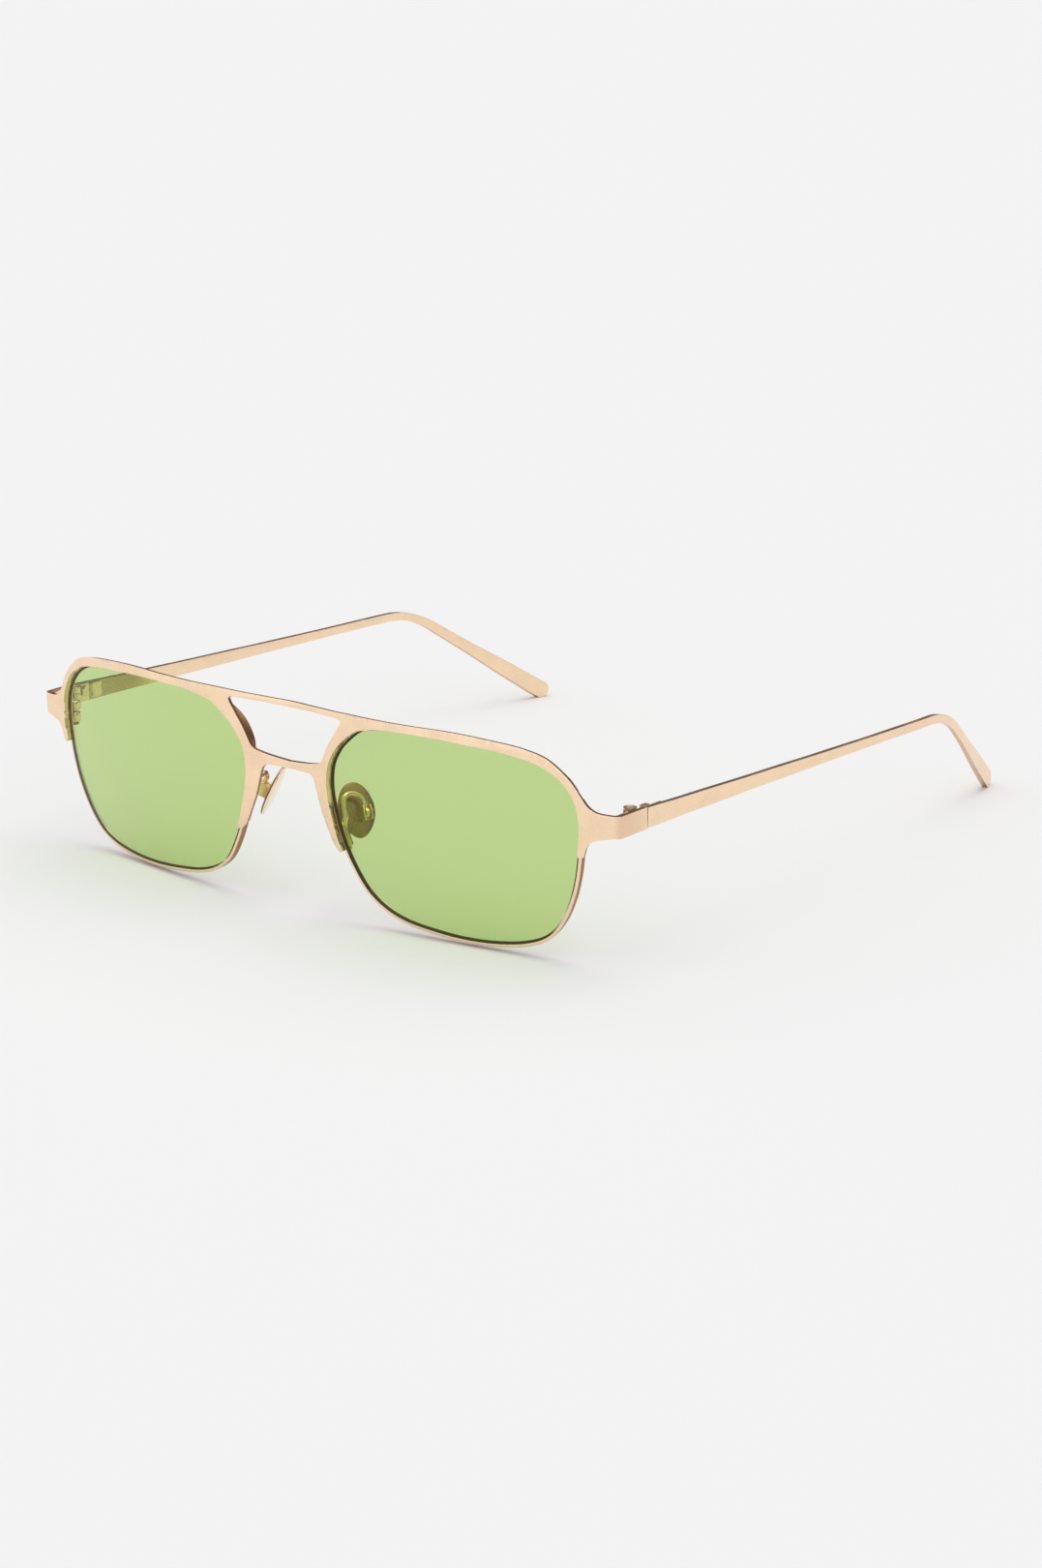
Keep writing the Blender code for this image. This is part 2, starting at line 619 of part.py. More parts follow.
def make_hinges():
    bottom, low, high, top = KNUCKLE_LEVELS
    wall = SIDE_X - SHEET - LEAF_GAP
    bore = rod((HINGE_X, HINGE_Y, bottom - MM), (HINGE_X, HINGE_Y, top + MM), HINGE_HOLE)
    seat = rod((HINGE_X, HINGE_Y, top - HINGE_HEAD_DEEP), (HINGE_X, HINGE_Y, top + MM), HINGE_HEAD + 0.1 * MM)
    leaf_end = HINGE_Y - KNUCKLE_RADIUS - 0.25 * MM
    leaf = box((wall - LEAF, FRONT_LEAF_START, bottom + 0.3 * MM), (wall, leaf_end, top - 0.3 * MM))
    knuckles = [
        shape
        for a, b in ((bottom, low), (high, top))
        for shape in (
            knuckle(a, b),
            box((HINGE_X + 0.2 * MM, leaf_end - 0.8 * MM, a), (wall - 0.02 * MM, HINGE_Y, b)),
        )
    ]
    mesh = combine(combine(leaf, knuckles, "UNION"), [bore, seat], "DIFFERENCE")
    pair("hinge_front", mesh, METALS["hinge"])

    a, b = low + KNUCKLE_GAP, high - KNUCKLE_GAP
    bore = rod((HINGE_X, HINGE_Y, bottom - MM), (HINGE_X, HINGE_Y, top + MM), HINGE_HOLE)
    arm = box((HINGE_X + 0.2 * MM, HINGE_Y, a), (wall - 0.1 * MM, TEMPLE_FRONT + 0.8 * MM, b))
    leaf = box(
        (wall - 0.1 * MM - LEAF, TEMPLE_FRONT + 0.1 * MM, bottom + 0.45 * MM),
        (wall - 0.1 * MM, TEMPLE_FRONT + TEMPLE_LEAF, top - 0.6 * MM),
    )
    block = box(
        (HINGE_X + 0.25 * MM, TEMPLE_FRONT + 0.12 * MM, bottom + 0.4 * MM),
        (wall - 0.12 * MM, TEMPLE_FRONT + SHOULDER_LENGTH, top - 0.15 * MM),
    )
    mesh = combine(combine(knuckle(a, b), [arm, leaf, block], "UNION"), [bore], "DIFFERENCE")
    pair("hinge_temple", mesh, METALS["hinge"], pivot=HINGE_PIVOT)

    shaft = rod((HINGE_X, HINGE_Y, bottom + 0.1 * MM), (HINGE_X, HINGE_Y, top - 0.2 * MM), HINGE_PIN)
    head = rod(
        (HINGE_X, HINGE_Y, top - HINGE_HEAD_DEEP + 0.1 * MM), (HINGE_X, HINGE_Y, top - 0.05 * MM), HINGE_HEAD
    )
    slot = box(
        (HINGE_X - MM, HINGE_Y - 0.12 * MM, top - 0.2 * MM), (HINGE_X + MM, HINGE_Y + 0.12 * MM, top + MM)
    )
    pair("hinge_screw", combine(combine(shaft, [head], "UNION"), [slot], "DIFFERENCE"), METALS["screw"])


# ---------------------------------------------------------------- temples

def temple_plan(y):
    """How far the temple's outer face has moved in from the end piece at this depth."""
    low, high = PLAN_BEND
    moved = PLAN_SLOPE * (y - TEMPLE_FRONT)
    length = high - low
    t = min(max((y - low) / length, 0), 1)
    extra = PLAN_TIP_SLOPE - PLAN_SLOPE
    moved += extra * length * (t**3 - t**4 / 2)
    return moved + extra * max(0, y - high)


def temple_line():
    """The strip's middle line in side view: two straight runs joined by an arc."""
    start = Vector((TEMPLE_FRONT, (LUG_TOP + LUG_BOTTOM) / 2))
    bend, tip = Vector(TEMPLE_BEND), Vector(TEMPLE_TIP)
    first, second = (bend - start).normalized(), (tip - bend).normalized()
    turn = first.angle(second)
    reach = TEMPLE_BEND_RADIUS * math.tan(turn / 2)
    points = [start.lerp(bend - first * reach, i / 24) for i in range(25)]
    centre = points[-1] + Vector((first.y, -first.x)) * TEMPLE_BEND_RADIUS
    for i in range(1, 9):
        swing = Matrix.Rotation(-turn * i / 8, 2) @ (points[24] - centre)
        points.append(centre + swing)
    leaving = points[-1]
    return points + [leaving.lerp(tip, i / 10) for i in range(1, 11)]


def strip_height(length):
    for (a, low), (b, high) in zip(TEMPLE_HEIGHTS, TEMPLE_HEIGHTS[1:]):
        if length <= b * MM:
            t = (length / MM - a) / (b - a)
            ease = t * t * (3 - 2 * t)
            return (low + (high - low) * (0.5 * t + 0.5 * ease)) * MM
    return TEMPLE_HEIGHTS[-1][1] * MM


def make_temples():
    line = temple_line()
    upper, lower = [], []
    length = 0
    for i, point in enumerate(line):
        along = (line[min(i + 1, len(line) - 1)] - line[max(i - 1, 0)]).normalized()
        length += (point - line[i - 1]).length if i else 0
        out = Vector((-along.y, along.x)) * strip_height(length) / 2
        upper.append(point + out)
        lower.append(point - out)
    radius = strip_height(length) / 2
    ahead = (line[-1] - line[-2]).normalized()
    aside = Vector((-ahead.y, ahead.x))
    round_end = [
        line[-1] + (aside * math.cos(a) + ahead * math.sin(a)) * radius
        for a in (math.pi * k / 12 for k in range(1, 12))
    ]
    mesh = flat_mesh("temple", [upper + round_end + lower[::-1]], -TEMPLE_THICK, 0)
    slice_along(mesh, 0, [TEMPLE_FRONT + 5 * MM * k for k in range(1, 26)])
    bend, tip = TEMPLE_BEND[0], TEMPLE_TIP[0]

    def place(y, z, level):
        grown = min(max((y - bend) / (tip - bend), 0), 1)
        thick = 1 + (TIP_THICK / TEMPLE_THICK - 1) * grown
        return Vector((SIDE_X - temple_plan(y) + level * thick, y, z))

    wrap(mesh, place)
    mesh = bevelled(mesh, 0.2 * MM, 50)
    pair("temple", mesh, METALS["temple"], pivot=HINGE_PIVOT)


# ---------------------------------------------------------------- assembly

METALS = {
    "front_sheet": material("front_sheet_gold", GOLD, 1, 0.34),
    "rim": material("eyewire_gold", GOLD, 1, 0.28),
    "lock": material("closing_block_gold", GOLD, 1, 0.3),
    "screw": material("screw_gold", (0.62, 0.45, 0.3), 1, 0.25),
    "arm": material("pad_arm_gold", GOLD, 1, 0.25),
    "box": material("pad_box_gold", GOLD, 1, 0.25),
    "pad": material("pad_gold", GOLD, 1, 0.3),
    "hinge": material("hinge_gold", GOLD, 1, 0.3),
    "temple": material("temple_gold", GOLD, 1, 0.36),
    "lens": material("green_lens", (0.45, 0.72, 0.22), 0, 0.03, 0.45),
}

make_front_sheet()
make_rims()
make_lenses()
make_locks()
make_pads()
make_pad_boxes()
make_pad_arms()
make_hinges()
make_temples()
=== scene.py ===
"""Looks for the double-bridge sunglasses: fine pieces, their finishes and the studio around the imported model."""

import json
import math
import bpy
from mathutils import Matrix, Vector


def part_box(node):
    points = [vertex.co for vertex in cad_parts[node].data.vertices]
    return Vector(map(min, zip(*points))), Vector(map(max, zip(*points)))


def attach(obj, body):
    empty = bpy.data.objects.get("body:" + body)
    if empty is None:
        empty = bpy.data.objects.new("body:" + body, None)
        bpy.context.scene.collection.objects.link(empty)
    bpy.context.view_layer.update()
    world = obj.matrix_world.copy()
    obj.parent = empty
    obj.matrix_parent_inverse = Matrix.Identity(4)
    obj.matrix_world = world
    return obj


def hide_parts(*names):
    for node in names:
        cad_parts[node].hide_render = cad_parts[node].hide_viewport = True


bl_info = {
    "name": "Metal sunglasses",
    "version": (1, 0, 0),
    "blender": (4, 5, 0),
    "location": "View3D > Sidebar > Sunglasses",
    "description": "Builds the visible pieces of a pair of metal sunglasses on its packed frame",
    "category": "Object",
}

import bpy
from mathutils import Matrix, Vector

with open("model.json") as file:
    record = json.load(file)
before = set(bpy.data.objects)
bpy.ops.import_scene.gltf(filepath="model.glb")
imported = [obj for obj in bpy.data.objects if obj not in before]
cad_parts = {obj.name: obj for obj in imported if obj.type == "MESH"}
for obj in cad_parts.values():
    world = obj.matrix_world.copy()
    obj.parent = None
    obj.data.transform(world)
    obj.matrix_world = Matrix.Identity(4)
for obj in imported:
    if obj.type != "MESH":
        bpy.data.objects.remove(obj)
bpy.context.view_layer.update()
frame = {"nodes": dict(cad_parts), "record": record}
NODES = frame["nodes"]

MM = 0.001

# A length too short to see, for telling places apart.
HAIR = 0.01 * MM

# Where the middle of the bridge stands in the frame.
BRIDGE_BACK = -73.943 * MM
BRIDGE_UP = 33.89 * MM

# The front's curve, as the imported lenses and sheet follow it.
LENS_CURVE = 86.0 * MM
LENS_CENTRE_X = 36.0 * MM
LENS_YAW = 0.115
LENS_CENTRE_Z = -6.0 * MM
BRIDGE_HALF = 8.65 * MM
FACET_X = 62.5 * MM
FACET_SLOPE = 0.31
CORNER_X = 68.2 * MM
CORNER_RADIUS = 1.15 * MM
CORNER_CUTS = 6
SHEET = 0.9 * MM
SHEET_TOP = 6.0 * MM
LUG_TOP = -5.45 * MM
LUG_BOTTOM = -9.4 * MM
END_PIECE_BACK = 17.5 * MM
END_PIECE_CORNER = 0.15 * MM
OUTER_ARM_END = -13.6 * MM
NASAL_ARM_END = -20.6 * MM
RIM_WIDTH = 0.9 * MM
RIM_FRONT = 1.0 * MM
RIM_BACK = 2.4 * MM
RIM_SPLIT_Z = -8.4 * MM
RIM_SPLIT = 0.25 * MM
RIM_STEP = 0.28 * MM
RIM_STEP_AT = 1.5 * MM
NOSE_SWELL = 1.1 * MM
SWELL_AT = Vector((12.4, -1.0)) * MM
SWELL_REACH = 6.5 * MM
LENS_FRONT = 0.95 * MM
LENS_BACK = 2.15 * MM
LENS_GAP = 0.12 * MM

# The temples' side view and plan.
TEMPLE_FRONT = 17.65 * MM
TEMPLE_BEND = (114.9 * MM, -10.5 * MM)
TEMPLE_TIP = (146.1 * MM, -32.2 * MM)
TEMPLE_BEND_RADIUS = 22.0 * MM
TEMPLE_HEIGHTS = (
    (0, 3.7), (12, 3.2), (35, 2.5), (55, 2.0), (72, 1.7), (96, 1.65), (112, 2.1), (126, 3.1), (134, 3.4),
)
TEMPLE_THICK = 1.0 * MM
TIP_THICK = 1.5 * MM
PLAN_SLOPE = 0.013
PLAN_TIP_SLOPE = 0.325
PLAN_BEND = (102.0 * MM, 128.0 * MM)
TEMPLE_CUTS = 2.0 * MM
STRAIGHT_POINTS, BEND_POINTS, TIP_POINTS = 60, 16, 20

# The nose pads and what holds them.
PAD_CENTRE = Vector((10.3, 8.9, -14.9)) * MM + Vector((0, BRIDGE_BACK, BRIDGE_UP))
PAD_LENGTH = 11.0 * MM
PAD_WIDTH = 7.0 * MM
PAD_THICK = 1.2 * MM
PAD_SPLAY = math.radians(25)
PAD_FLARE = math.radians(23)
PAD_LEAN = math.radians(-11)
PAD_NARROWING = 0.2
PAD_LOWER_SHARE = 0.87
PAD_FULLNESS = (0.5, 0.75)
BOX_OUT = 2.3 * MM
BOX_BACK = 0.9 * MM
BOX_DROP = 0.6 * MM
BOX_LENGTH = 2.6 * MM
BOX_GAP = 0.02 * MM
BOX_EDGE = 0.1 * MM
CHEEK_INSIDE = 0.52 * MM
CHEEK = 0.35 * MM
EYE_RADIUS = 0.85 * MM
EYE_THICK = 0.8 * MM
EYE_EDGE = 0.12 * MM
PAD_SCREW_RADIUS = 0.32 * MM
PAD_SCREW_HEAD = 0.62 * MM
PAD_SCREW_PROUD = 0.42 * MM
PAD_SCREW_SPARE = 0.4 * MM

# The pad arms: the wire's foot and its soldered leaf lie behind the eyewire, the rest is measured from the pad.
WIRE_RADIUS = 0.5 * MM
WIRE_THINNING = 0.35
WIRE_THINS_WITHIN = 2.6 * MM
FOOT_LINE = ((12.15, -20.0), (10.95, -16.6))
FOOT_STANDOFF = 0.6 * MM
FOOT_LEAVES = Vector((-0.1, 0.4, 1.8)) * MM
WIRE_TOP = (-1.2 * MM, 3.1 * MM, BOX_OUT + 0.3 * MM)
WIRE_CLIMB = Vector((-0.2, -2, -0.4)) * MM
LEAF = (
    (12.5, -20.9), (11.9, -20.3), (11.3, -18.8), (10.7, -17), (10.55, -15.9), (10.9, -15.6),
    (11.35, -16.3), (11.8, -17.8), (12.3, -19.4), (12.75, -20.5),
)
LEAF_DEPTHS = (RIM_BACK - 0.05 * MM, RIM_BACK + 0.45 * MM)
LEAF_EDGE = 0.15 * MM

# The hinges' upright screws.
HINGE = Vector((66.75 * MM, 15.5 * MM + BRIDGE_BACK, 0))
HINGE_TOP = -5.4 * MM + BRIDGE_UP
HINGE_FOOT = -9.25 * MM + BRIDGE_UP
HINGE_PIN = 0.45 * MM
HINGE_HEAD = 0.8 * MM
HINGE_EDGE = 0.08 * MM
HEAD_THICK = 0.33 * MM

# The closing blocks and their screws.
BLOCK_EDGE = 0.06 * MM
BLOCK_HEAD_THICK = 0.38 * MM
BLOCK_PIN = 0.4 * MM

# How rough each metal finish is.
ROUGHNESS = {
    "sheet_gold": 0.3, "painted_shade_wall_gold": 0.4, "edge_highlight_gold": 0.2, "window_gold": 0.12, "eyewire_gold": 0.26,
    "temple_gold": 0.29, "temple_wall_gold": 0.3, "temple_inside_gold": 0.29, "pad_gold": 0.2, "pad_back_gold": 0.3,
    "fitting_gold": 0.22, "arm_gold": 0.22, "screw_gold": 0.22, "hinge_gold": 0.28, "hinge_screw_gold": 0.22,
    "block_gold": 0.28,
}

# Right-hand outlines, in millimetres out from the middle and up from the bridge.
WINDOW = (
    (17, 2.9), (20.5, 3.95), (24, 4.5), (29, 4.75), (36, 4.8), (42, 4.5), (48, 4.0), (53.5, 2.95),
    (57, 1.35), (59.6, -0.9), (61.3, -4), (61.9, -7.8), (61.6, -12.4), (60.9, -17.2), (59.6, -21.8), (57.4, -26.4),
    (54.3, -30), (50, -31.9), (44, -32.85), (37.5, -33.05), (31, -32.6), (25, -31.8), (20.5, -30.2), (17, -27.6),
    (14.4, -23.8), (12.35, -19.5), (10.9, -15), (9.95, -10.8), (9.75, -7.6), (10.25, -4.5), (11.6, -2), (13.4, 0.1),
)
BROW = (
    (0, 5.3), (5, 5.3), (10, 5.5), (16, 5.8), (23, 6), (30, 6.2), (37, 6.35), (43, 6.1), (49, 5.55),
    (52.5, 4.95), (55.6, 4), (57.7, 2.7), (59.7, 0.9),
)
SHOULDER = ((61.2, -0.9), (62.3, -2.7), (63.3, -4.1), (64.4, -4.95), (65.8, -5.35), (68.2, -5.45))
ARM_OUTSIDE = (
    (68.2, -9.4), (66.8, -9.7), (65.4, -10), (64.3, -10.35), (63.5, -11), (63.0, -11.8), (62.75, -12.7),
    (62.55, -13.4), (62.2, -13.6),
)
NOSE_SIDE = ((12, -20.6), (10.7, -19.4), (9.5, -17), (7.9, -13.4), (6.75, -9.6), (6.2, -7.9), (5.3, -7.15), (4, -7.05))
BRIDGE_HOLE = (
    (0, 4.2), (12.3, 4.5), (13.2, 4.45), (13.5, 4.1), (13.3, 3.6), (11.8, 1.5), (10.1, -1), (8.5, -4),
    (8, -4.5), (7.3, -4.75), (5.2, -5.2), (2.7, -5.5), (0, -5.7),
)


# ---------------------------------------------------------------- settings

class FinishSettings(bpy.types.PropertyGroup):
    gold: bpy.props.FloatVectorProperty(
        name="Gold", description="Colour of the plated metal's open faces", subtype="COLOR", size=3,
        default=(1.0, 0.75, 0.515), min=0, max=1,
    )
    # Painted highlight: a lighter gold for the sheet's bevels, standing in for the bright line that light draws along
    # its edges.
    edge: bpy.props.FloatVectorProperty(
        name="Edge", description="Colour of the edges' painted highlight", subtype="COLOR", size=3,
        default=(1.0, 0.87, 0.68), min=0, max=1,
    )
    # Painted shade: a dark brown standing in for the shade on the walls, the eyewires' outsides and the screws; the
    # temples' walls take half of it.
    shade: bpy.props.FloatVectorProperty(
        name="Painted shade gold", description="Colour of the walls and insides darkened as painted shade",
        subtype="COLOR", size=3, default=(0.40, 0.20, 0.10), min=0, max=1,
    )
    # Painted shade: a deeper tone for the end pieces' outer faces beside their corners.
    corner: bpy.props.FloatVectorProperty(
        name="Painted corner shade", description="Painted shade, a deeper tone beside the end pieces' corners", subtype="COLOR", size=3,
        default=(0.86, 0.6, 0.42), min=0, max=1,
    )
    # Painted light and shade: the pads are one metal; the nose side takes a lighter copy of the gold and the back a
    # darker one.
    pad: bpy.props.FloatVectorProperty(
        name="Pad", description="Colour of the nose pads' nose side, lightened as painted light", subtype="COLOR", size=3,
        default=(1.0, 0.86, 0.66), min=0, max=1,
    )
    pad_back: bpy.props.FloatVectorProperty(
        name="Pad back", description="Colour of the side that the pad's channel stands on", subtype="COLOR",
        size=3, default=(0.42, 0.27, 0.15), min=0, max=1,
    )
    # Painted shade: the lens edge is near black, standing in for the shade in the eyewire's groove.
    lens_edge: bpy.props.FloatVectorProperty(
        name="Lens edge", description="Colour of the lens's ground edge", subtype="COLOR", size=3,
        default=(0.05, 0.03, 0.012), min=0, max=1,
    )
    lens: bpy.props.FloatVectorProperty(
        name="Lens tint", description="What a lens lets through", subtype="COLOR", size=3,
        default=(0.568, 0.733, 0.312), min=0, max=1,
    )


class SizeSettings(bpy.types.PropertyGroup):
    point_gap: bpy.props.FloatProperty(
        name="Point spacing", description="How far apart the points of an outline lie", unit="LENGTH",
        default=0.75 * MM, min=0.2 * MM, max=3 * MM,
    )
    bend_gap: bpy.props.FloatProperty(
        name="Bend spacing", description="How far apart the front is sliced so that it can curve", unit="LENGTH",
        default=1.4 * MM, min=0.5 * MM, max=10 * MM,
    )
    sheet_edge: bpy.props.FloatProperty(
        name="Sheet edge", description="Width taken off the front sheet's edges", unit="LENGTH",
        default=0.18 * MM, min=0, max=0.4 * MM,
    )
    rim_edge: bpy.props.FloatProperty(
        name="Eyewire edge", description="Width taken off the eyewires' edges", unit="LENGTH",
        default=0.12 * MM, min=0, max=0.4 * MM,
    )
    temple_edge: bpy.props.FloatProperty(
        name="Temple edge", description="Width taken off the temples' edges", unit="LENGTH",
        default=0.4 * MM, min=0, max=0.45 * MM,
    )


class StageSettings(bpy.types.PropertyGroup):
    azimuth: bpy.props.FloatProperty(
        name="Azimuth", description="How far round from straight ahead the camera stands", subtype="ANGLE",
        default=0.6761467,
    )
    elevation: bpy.props.FloatProperty(
        name="Elevation", description="How far the camera looks down", subtype="ANGLE", default=0.2849520,
    )
    roll: bpy.props.FloatProperty(
        name="Roll", description="How far the camera leans", subtype="ANGLE", default=0.0072056,
    )
    distance: bpy.props.FloatProperty(
        name="Distance", description="From the camera to the bridge, along its view", unit="LENGTH",
        default=728.44 * MM,
    )
    aside: bpy.props.FloatVectorProperty(
        name="Aside", description="How far right and up of the bridge the camera's axis passes", size=2,
        subtype="TRANSLATION", unit="LENGTH", default=(43.062 * MM, -9.081 * MM),
    )
    focal: bpy.props.FloatProperty(
        name="Focal length", description="The camera's lens, in millimetres", default=93.482, min=10, max=300,
    )
    floor: bpy.props.FloatVectorProperty(
        name="Floor", description="Colour of the floor", subtype="COLOR", size=3, default=(0.82, 0.82, 0.82),
        min=0, max=1,
    )
    sun: bpy.props.FloatProperty(
        name="Overhead light", description="Strength of the wide soft light overhead", default=0.5, min=0, max=10,
    )
    sky: bpy.props.FloatProperty(
        name="Room light", description="Brightness of the room's upper walls and ceiling", default=1.05,
        min=0, max=10,
    )
    far_wall: bpy.props.FloatProperty(
        name="Far wall", description="Brightness of the room behind the glasses, near the floor", default=0.12,
        min=0, max=10,
    )


def finishes():
    return bpy.context.scene.sunglasses_finish


def sizes():
    return bpy.context.scene.sunglasses_size


# ---------------------------------------------------------------- the curved front

def lens_curve(x):
    """Depth and slope of the lens curve in plan."""
    from_middle = x - (LENS_CENTRE_X - LENS_CURVE * math.sin(LENS_YAW))
    reach = math.sqrt(LENS_CURVE**2 - from_middle**2)
    return LENS_CURVE * math.cos(LENS_YAW) - reach, from_middle / reach


def plan(s):
    """Place and heading, in plan, of the sheet's face: x out to the corner, then length along the end piece."""
    depth, slope = lens_curve(min(max(s, BRIDGE_HALF), FACET_X))
    if s < BRIDGE_HALF:
        return s, depth + slope * (s**2 - BRIDGE_HALF**2) / (2 * BRIDGE_HALF), math.atan(slope * s / BRIDGE_HALF)
    if s < FACET_X:
        return s, depth, math.atan(slope)
    heading = math.atan(FACET_SLOPE)
    if s < CORNER_X:
        return s, depth + (s - FACET_X) * FACET_SLOPE, heading
    depth += (CORNER_X - FACET_X) * FACET_SLOPE
    turned = min(heading + (s - CORNER_X) / CORNER_RADIUS, math.pi / 2)
    x = CORNER_X + CORNER_RADIUS * (math.sin(turned) - math.sin(heading))
    depth += CORNER_RADIUS * (math.cos(heading) - math.cos(turned))
    return x, depth + max(0, s - CORNER_X - CORNER_RADIUS * (math.pi / 2 - heading)), turned


def on_front(s, up, depth):
    """The point a given depth behind the sheet's face, in the frame."""
    x, y, heading = plan(abs(s))
    lift = up - LENS_CENTRE_Z
    sag = LENS_CURVE - math.sqrt(LENS_CURVE**2 - lift**2)
    back = Vector((-math.sin(heading), math.cos(heading), -lift / LENS_CURVE)).normalized()
    point = Vector((x, y + sag + BRIDGE_BACK, up + BRIDGE_UP)) + back * depth
    return Vector((point.x if s >= 0 else -point.x, point.y, point.z))


SIDE_X = plan(CORNER_X + CORNER_RADIUS * math.pi)[0]
CORNER_LENGTH = CORNER_RADIUS * (math.pi / 2 - math.atan(FACET_SLOPE))
END_S = CORNER_X + CORNER_LENGTH + END_PIECE_BACK - plan(CORNER_X + CORNER_LENGTH)[1]


# ---------------------------------------------------------------- outlines

def smooth(points, closed=False, scale=MM, gap=None):
    """Points along a Catmull-Rom curve through the given ones."""
    knots = [Vector(p) * scale for p in points]
    count = len(knots)
    found = []
    for i in range(count if closed else count - 1):
        a, b = knots[i], knots[(i + 1) % count]
        before = knots[i - 1] if closed or i > 0 else a - (b - a)
        after = knots[(i + 2) % count] if closed or i + 2 < count else b + (b - a)
        pieces = max(1, round((b - a).length / (gap or sizes().point_gap)))
        for k in range(pieces):
            t = k / pieces
            found.append(
                0.5 * (2 * a + (b - before) * t + (2 * before - 5 * a + 4 * b - after) * t**2
                       + (3 * a - before - 3 * b + after) * t**3)
            )
    return found if closed else found + [knots[-1]]


def offset(points, distance):
    """A closed clockwise outline moved out by a distance."""
    found = []
    for i, point in enumerate(points):
        along = points[(i + 1) % len(points)] - points[i - 1]
        found.append(point + Vector((-along.y, along.x)).normalized() * distance)
    return found


def swollen(inner, outer):
    """The eyewire's outside, moved out where it backs the bridge."""
    found = []
    for near, far in zip(inner, outer):
        share = max(0, 1 - ((near - SWELL_AT).length / SWELL_REACH) ** 2)
        found.append(far + (far - near).normalized() * NOSE_SWELL * share)
    return found


def sheet_outline():
    """The sheet's outline on the +X side, clockwise from the top of the bridge to the bottom of it."""
    corner = END_PIECE_CORNER
    window = smooth(WINDOW, closed=True)
    kept = [p for p in window if p.y > (OUTER_ARM_END if p.x > LENS_CENTRE_X else NASAL_ARM_END)]
    start = min(range(len(kept)), key=lambda i: (kept[i].x < LENS_CENTRE_X, kept[i].y))
    lens_edge = [kept[start - i] for i in range(len(kept))]
    half = (
        smooth(BROW + SHOULDER)
        + [Vector((END_S - corner, LUG_TOP)), Vector((END_S, LUG_TOP - corner))]
        + [Vector((END_S, LUG_BOTTOM + corner)), Vector((END_S - corner, LUG_BOTTOM))]
        + smooth(ARM_OUTSIDE)
        + [Vector((lens_edge[0].x + corner / 2, OUTER_ARM_END))]
        + lens_edge
        + smooth(NOSE_SIDE)
        + [Vector((0, NOSE_SIDE[-1][1] * MM))]
    )
    return both_halves(half)


def both_halves(half):
    """An outline's +X half and its mirror image, without the middle points twice."""
    return half + [Vector((-p.x, p.y)) for p in reversed(half) if p.x > HAIR]


# ---------------------------------------------------------------- modelling

def alone(thing):
    bpy.ops.object.select_all(action="DESELECT")
    thing.select_set(True)
    bpy.context.view_layer.objects.active = thing
    return thing


def ring(outline):
    """A circle of edges whose points are drawn out onto an outline."""
    bpy.ops.object.select_all(action="DESELECT")
    bpy.ops.mesh.primitive_circle_add(vertices=len(outline), radius=MM)
    made = bpy.context.object
    for vertex, spot in zip(made.data.vertices, outline):
        vertex.co = (spot.x, spot.y, 0)
    return made


def joined(things):
    """The first of the things, with the others joined into it."""
    bpy.ops.object.select_all(action="DESELECT")
    for thing in things:
        thing.select_set(True)
    bpy.context.view_layer.objects.active = things[0]
    if len(things) > 1:
        bpy.ops.object.join()
    return things[0]


def cut_at(axis, places):
    """In edit mode, slices the whole mesh at each place along an axis."""
    normal = [0, 0, 0]
    normal[axis] = 1
    for place in places:
        bpy.ops.mesh.select_all(action="SELECT")
        bpy.ops.mesh.bisect(plane_co=[place * n for n in normal], plane_no=normal)


def spread(low, high, gap):
    """Places between two ends, no further apart than the gap."""
    count = max(2, math.ceil((high - low) / gap))
    return [low + (high - low) * i / count for i in range(1, count)]


def slab(name, outlines, low, high, across, up, place, levels=(), wall_slot=None):
    """Fills flat outlines, slices them, gives them depth from low to high and lays them where place says."""
    thing = joined([ring(outline) for outline in outlines])
    thing.name = thing.data.name = name
    bpy.ops.object.mode_set(mode="EDIT")
    bpy.ops.mesh.select_all(action="SELECT")
    bpy.ops.mesh.fill(use_beauty=True)
    cut_at(0, across)
    cut_at(1, up)
    bpy.ops.mesh.select_all(action="SELECT")
    bpy.ops.mesh.extrude_region_move(TRANSFORM_OT_translate={"value": (0, 0, high - low)})
    cut_at(2, [level - low for level in levels])
    bpy.ops.object.mode_set(mode="OBJECT")
    if wall_slot:
        for face in thing.data.polygons:
            heights = [thing.data.vertices[i].co.z for i in face.vertices]
            if max(heights) - min(heights) > (high - low) / 20:
                face.material_index = wall_slot(face.center + Vector((0, 0, low)))
    for vertex in thing.data.vertices:
        x, y, z = vertex.co
        vertex.co = place(x, y, z + low)
    bpy.ops.object.mode_set(mode="EDIT")
    bpy.ops.mesh.select_all(action="SELECT")
    bpy.ops.mesh.remove_doubles(threshold=1e-7)
    bpy.ops.mesh.normals_make_consistent(inside=False)
    bpy.ops.object.mode_set(mode="OBJECT")
    return thing


def finish_edges(thing, width, segments=2, angle=40, slot=None):
    """Rounds the sharp edges and keeps the shading of the flats beside them even."""
    alone(thing)
    bevel = thing.modifiers.new("edge", "BEVEL")
    bevel.width = width
    bevel.segments = segments
    bevel.limit_method = "ANGLE"
    bevel.angle_limit = math.radians(angle)
    bevel.face_strength_mode = "FSTR_ALL"
    if slot is not None:
        bevel.material = slot
    even = thing.modifiers.new("even", "WEIGHTED_NORMAL")
    even.use_face_influence = True
    even.keep_sharp = True
    bpy.ops.object.shade_smooth()
    bpy.ops.object.modifier_apply(modifier=bevel.name)
    bpy.ops.object.modifier_apply(modifier=even.name)
    return thing


